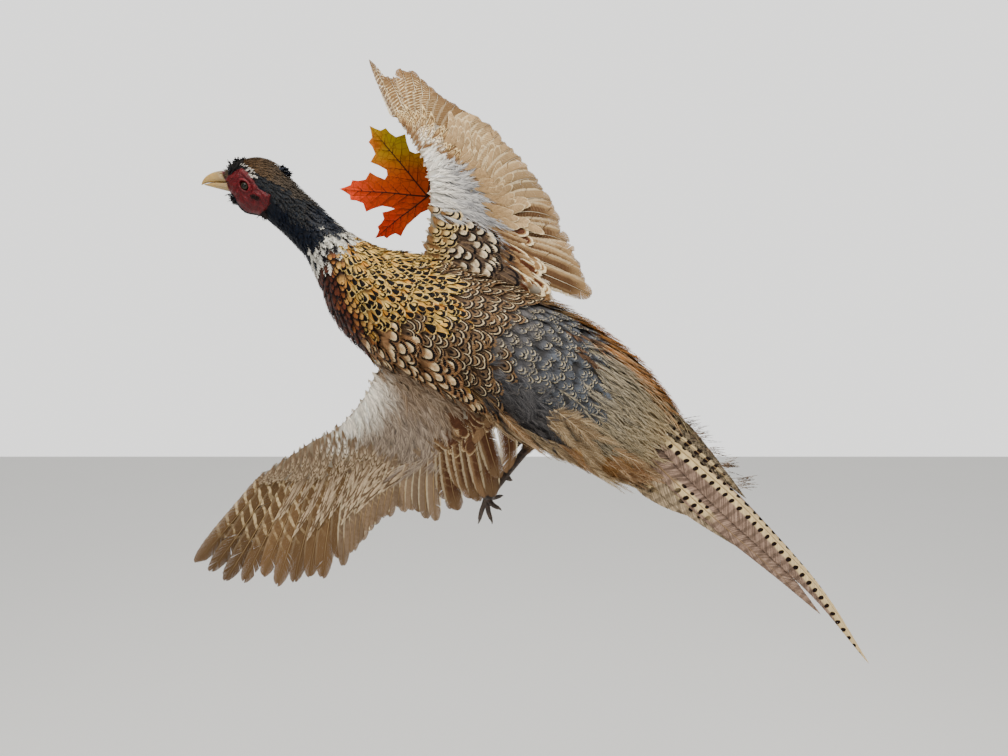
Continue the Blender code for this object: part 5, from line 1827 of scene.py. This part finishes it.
def dry_scales():
    leg = Finish("dry_scales", Roughness=0.55)
    dust = leg.noise(300, 4)
    fine = leg.cells("DISTANCE_TO_EDGE", 900.0)
    colour = leg.mix(dust.rise(0.35, 0.7), (0.028, 0.016, 0.011), (0.085, 0.052, 0.034))
    colour = leg.mix(leg.attribute("groove") * 0.8, colour, (0.012, 0.008, 0.006))
    leg.feed(Base_Color=colour)
    leg.bump(fine.rise(0.0, 0.12) + dust * 0.4, 0.12 * MM)
    return leg


def claw_horn():
    claw = Finish("claw_horn", Roughness=0.35)
    lines = claw.noise(600, 2)
    claw.feed(Base_Color=claw.mix(lines, (0.02, 0.014, 0.01), (0.09, 0.065, 0.045)))
    claw.bump(lines, 0.05 * MM)
    return claw


scales, claws = dry_scales(), claw_horn()
for side, (_, ankle, foot, toes) in LEGS.items():
    ankle, foot = (np.array(joint) * MM for joint in (ankle, foot))
    down = unit(foot - ankle)
    front = np.array((-1.0, -0.2, 0.15))
    shank = [ankle - down * 2 * MM, ankle + down * 3 * MM, (ankle + foot) / 2, foot - down * 2 * MM,
             foot + down * 3 * MM]
    radii = np.array((ANKLE_RADIUS, *(SHANK_RADIUS * share for share in (0.95, 0.9, 1.1, 1.25))))
    spur_root = ankle + (foot - ankle) * 0.62
    spur_way = unit(np.cross(down, OUTWARD))
    spur_way = spur_way * np.sign(spur_way[0])
    spur = [spur_root, spur_root + spur_way * SHANK_RADIUS,
            spur_root + spur_way * (SHANK_RADIUS + SPUR_LENGTH * 0.6) - down * 0.4 * MM,
            spur_root + spur_way * (SHANK_RADIUS + SPUR_LENGTH) - down * 1.4 * MM]
    spur_radii = np.array((3.2, 2.8, 1.7, 0.4)) * MM
    shank_and_spur = joined("shank", [scaled_tube(shank, radii, front),
                                      scaled_tube(spur, spur_radii, front, 1.4 * MM, 20, 0.1 * MM)])
    stand_piece(f"leg_shank_{side}", shank_and_spur, scales, [f"shank_{side}"])
    knuckle = foot + down * SHANK_RADIUS * 1.6
    tubes, nails = [], []
    for toe in toes:
        tip = np.array(toe) * MM
        way = unit(tip - knuckle)
        bend = knuckle + (tip - knuckle) * 0.5 + down * TOE_BEND * 0.8
        end = knuckle + (tip - knuckle) * 0.8
        above = unit(-down + way * (down @ way))
        tubes.append(scaled_tube([knuckle, (knuckle + bend) / 2, bend, end],
                                 np.array((1.15, 1.0, 0.95, 0.72)) * TOE_RADIUS, above,
                                 1.9 * MM, 24, 0.22 * MM))
        nails.append(scaled_tube([end - way * 1.2 * MM, end + way * 1.2 * MM + above * 0.3 * MM,
                                  end + (tip - end) * 0.6 + above * 0.5 * MM, tip],
                                 np.array((1.35, 1.3, 0.85, 0.25)) * MM, above, 9 * MM, 20, 0.02 * MM))
    tubes.append(scaled_tube([foot + down * 0.5 * MM, knuckle, knuckle + down * 2.6 * MM],
                             np.array((1.3, 1.5, 0.8)) * SHANK_RADIUS, front, 2.0 * MM, 28, 0.2 * MM))
    stand_piece(f"leg_foot_{side}", joined("foot", tubes), scales, [f"foot_{side}"])
    stand_piece(f"leg_claws_{side}", joined("claws", nails), claws)


def thigh_coat(side):
    """Loose brown feathers down the thigh, ending above the bare shank."""
    hip, ankle = (np.array(joint) * MM for joint in LEGS[side][:2])
    down = unit(ankle - hip)
    room = unit(OUTWARD - down * (down @ OUTWARD))
    across = np.cross(down, room)

    def surface(place, turn, height=0.0):
        centre = hip + (ankle - hip) * (place / 3)[..., None]
        radius = smooth(THIGH_RADII, np.clip(place, 0, 3)) * 0.82 + height
        way = room * np.cos(turn)[..., None] + across * np.sin(turn)[..., None]
        return centre + radius[..., None] * way

    rows = 11
    place, turn = [], []
    for row in range(rows):
        here = 0.2 + 2.3 * row / rows
        number = int(2 * math.pi * float(smooth(THIGH_RADII, here)) / (4.6 * MM))
        place += [here] * number
        turn += list((np.arange(number) + 0.5 * (row % 2)) / number * 2 * math.pi)
    place, turn = np.array(place), np.array(turn)
    count = len(place)
    lines = lay(surface, place, turn, chance.normal(0, 0.15, count), chance.normal(16, 2, count) * MM,
                0.3 * MM, 2.2 * MM)
    home = np.stack([0.05 + 0.9 * (turn / (2 * math.pi)) % 1, 0.1 + 0.8 * place / 3], -1)
    grow(f"coat_thigh_{side}", lines, 3.8 * MM, vary(np.tile((0.12, 0.07, 0.035), (count, 1)), 0.15), home,
         vent_feather, strips=8, steps=2, widest=0.5, fray=0.92, ruffle=0.8, ragged=0.4, slant=2.0,
         point=1.5)


for side in LEGS:
    thigh_coat(side)

# ---- Skin colour -----------------------------------------------------------------------------------
# Under the coat the skin is given the colour of the feathers that grow from it at half brightness: painted
# shade where it shows between them.
# The bare face's masks come last: where it is bare, its lids and its folds, which its finish paints as
# highlight and shade.

mark_points = np.concatenate([points for points, _ in skin_marks])
mark_colours = np.concatenate([colours for _, colours in skin_marks])
tree = kdtree.KDTree(len(mark_points))
for number, point in enumerate(mark_points):
    tree.insert(point, number)
tree.balance()
skin_points = coordinates(skin.data)
nearest = [tree.find(point)[1] for point in skin_points]
# Half the feathers' brightness: painted shade between the feathers.
tell(skin.data, "tract", np.column_stack([mark_colours[nearest] * 0.5, np.ones(len(nearest))]))
flank_side = on_side(skin_points)
before_neck = skin_points[:, 0] < HEAD_END
tell(skin.data, "bare", soft_step(face_depth(skin_points), -1.2, 0.4) * flank_side * before_neck)
from_eye = (skin_points - EYE_CENTRE) / MM
opening, above = eye_opening(from_eye[:, 0], from_eye[:, 2])
tell(skin.data, "lid", np.exp(-((opening - 4.9) / 0.9) ** 2) * (0.25 + 0.75 * (above > 0.5)) * flank_side)
tell(skin.data, "fold", wrinkles(from_eye[:, 0], from_eye[:, 2]))

# ---- Studio ----------------------------------------------------------------------------------------
# A plain pale floor far below the bird, and pale surroundings that are brightest towards the wall. A
# wide soft light hangs overhead, as in a shop, and a weaker one stands in front.

CAMERA_AT = (0.0375, -0.835, 0.0273)
CAMERA_PITCH = math.radians(5.5)
LENS = 27.04
FLOOR_DROP = 0.95
FLOOR_COLOUR = (0.88, 0.875, 0.85)
PALE_LIGHT = (0.86, 0.855, 0.84, 1)
ROOM_LIGHT, WALL_LIGHT = 0.4, 1.95                  # the room round the camera, and the pale wall behind

pale = Finish("pale_stage", Roughness=0.9, Emission_Strength=0.12, Emission_Color=PALE_LIGHT)
pale.feed(Base_Color=pale.mix(pale.noise(3, 2), FLOOR_COLOUR, tuple(v * 0.97 for v in FLOOR_COLOUR)))
bpy.ops.mesh.primitive_plane_add(size=8, location=(0, 0, -FLOOR_DROP), rotation=(0, 0, 0))
floor = bpy.context.active_object
floor.name = "floor"
floor.data.materials.append(pale.material)

LIGHTS = {      # power, size, place and colour of each; all point at the bird
    "overhead": (60, (1.6, 1.2), (0.1, -0.9, 1.6), (1.0, 0.97, 0.92)),
    "front_fill": (10, (1.4, 1.4), (-0.9, -1.9, 0.3), (0.95, 0.97, 1.0)),
}
BIRD_AT = Vector((0, -0.1, 0))
for name, (power, size, place, colour) in LIGHTS.items():
    light = bpy.data.lights.new(name, "AREA")
    light.energy = power
    light.shape = "RECTANGLE"
    light.size, light.size_y = size
    light.color = colour
    lamp = bpy.data.objects.new(name, light)
    bpy.context.scene.collection.objects.link(lamp)
    lamp.location = place
    lamp.rotation_euler = (BIRD_AT - Vector(place)).to_track_quat("-Z", "Y").to_euler()

room = Finish("pale_room", bpy.data.worlds, "Background", Color=PALE_LIGHT)
_, towards_wall, _ = room.parts(room.node("ShaderNodeTexCoord", output="Generated"))
limits = {"From Min": 0.15, "From Max": 0.72, "To Min": ROOM_LIGHT, "To Max": WALL_LIGHT}
room.feed(Strength=room.node("ShaderNodeMapRange", {"interpolation_type": "SMOOTHSTEP"},
                             {"Value": towards_wall, **limits}))
bpy.context.scene.world = room.material

camera = bpy.data.objects.new("camera", bpy.data.cameras.new("camera"))
bpy.context.scene.collection.objects.link(camera)
camera.location = CAMERA_AT
camera.rotation_euler = (math.pi / 2 - CAMERA_PITCH, 0, 0)
camera.data.lens = LENS
bpy.context.scene.camera = camera
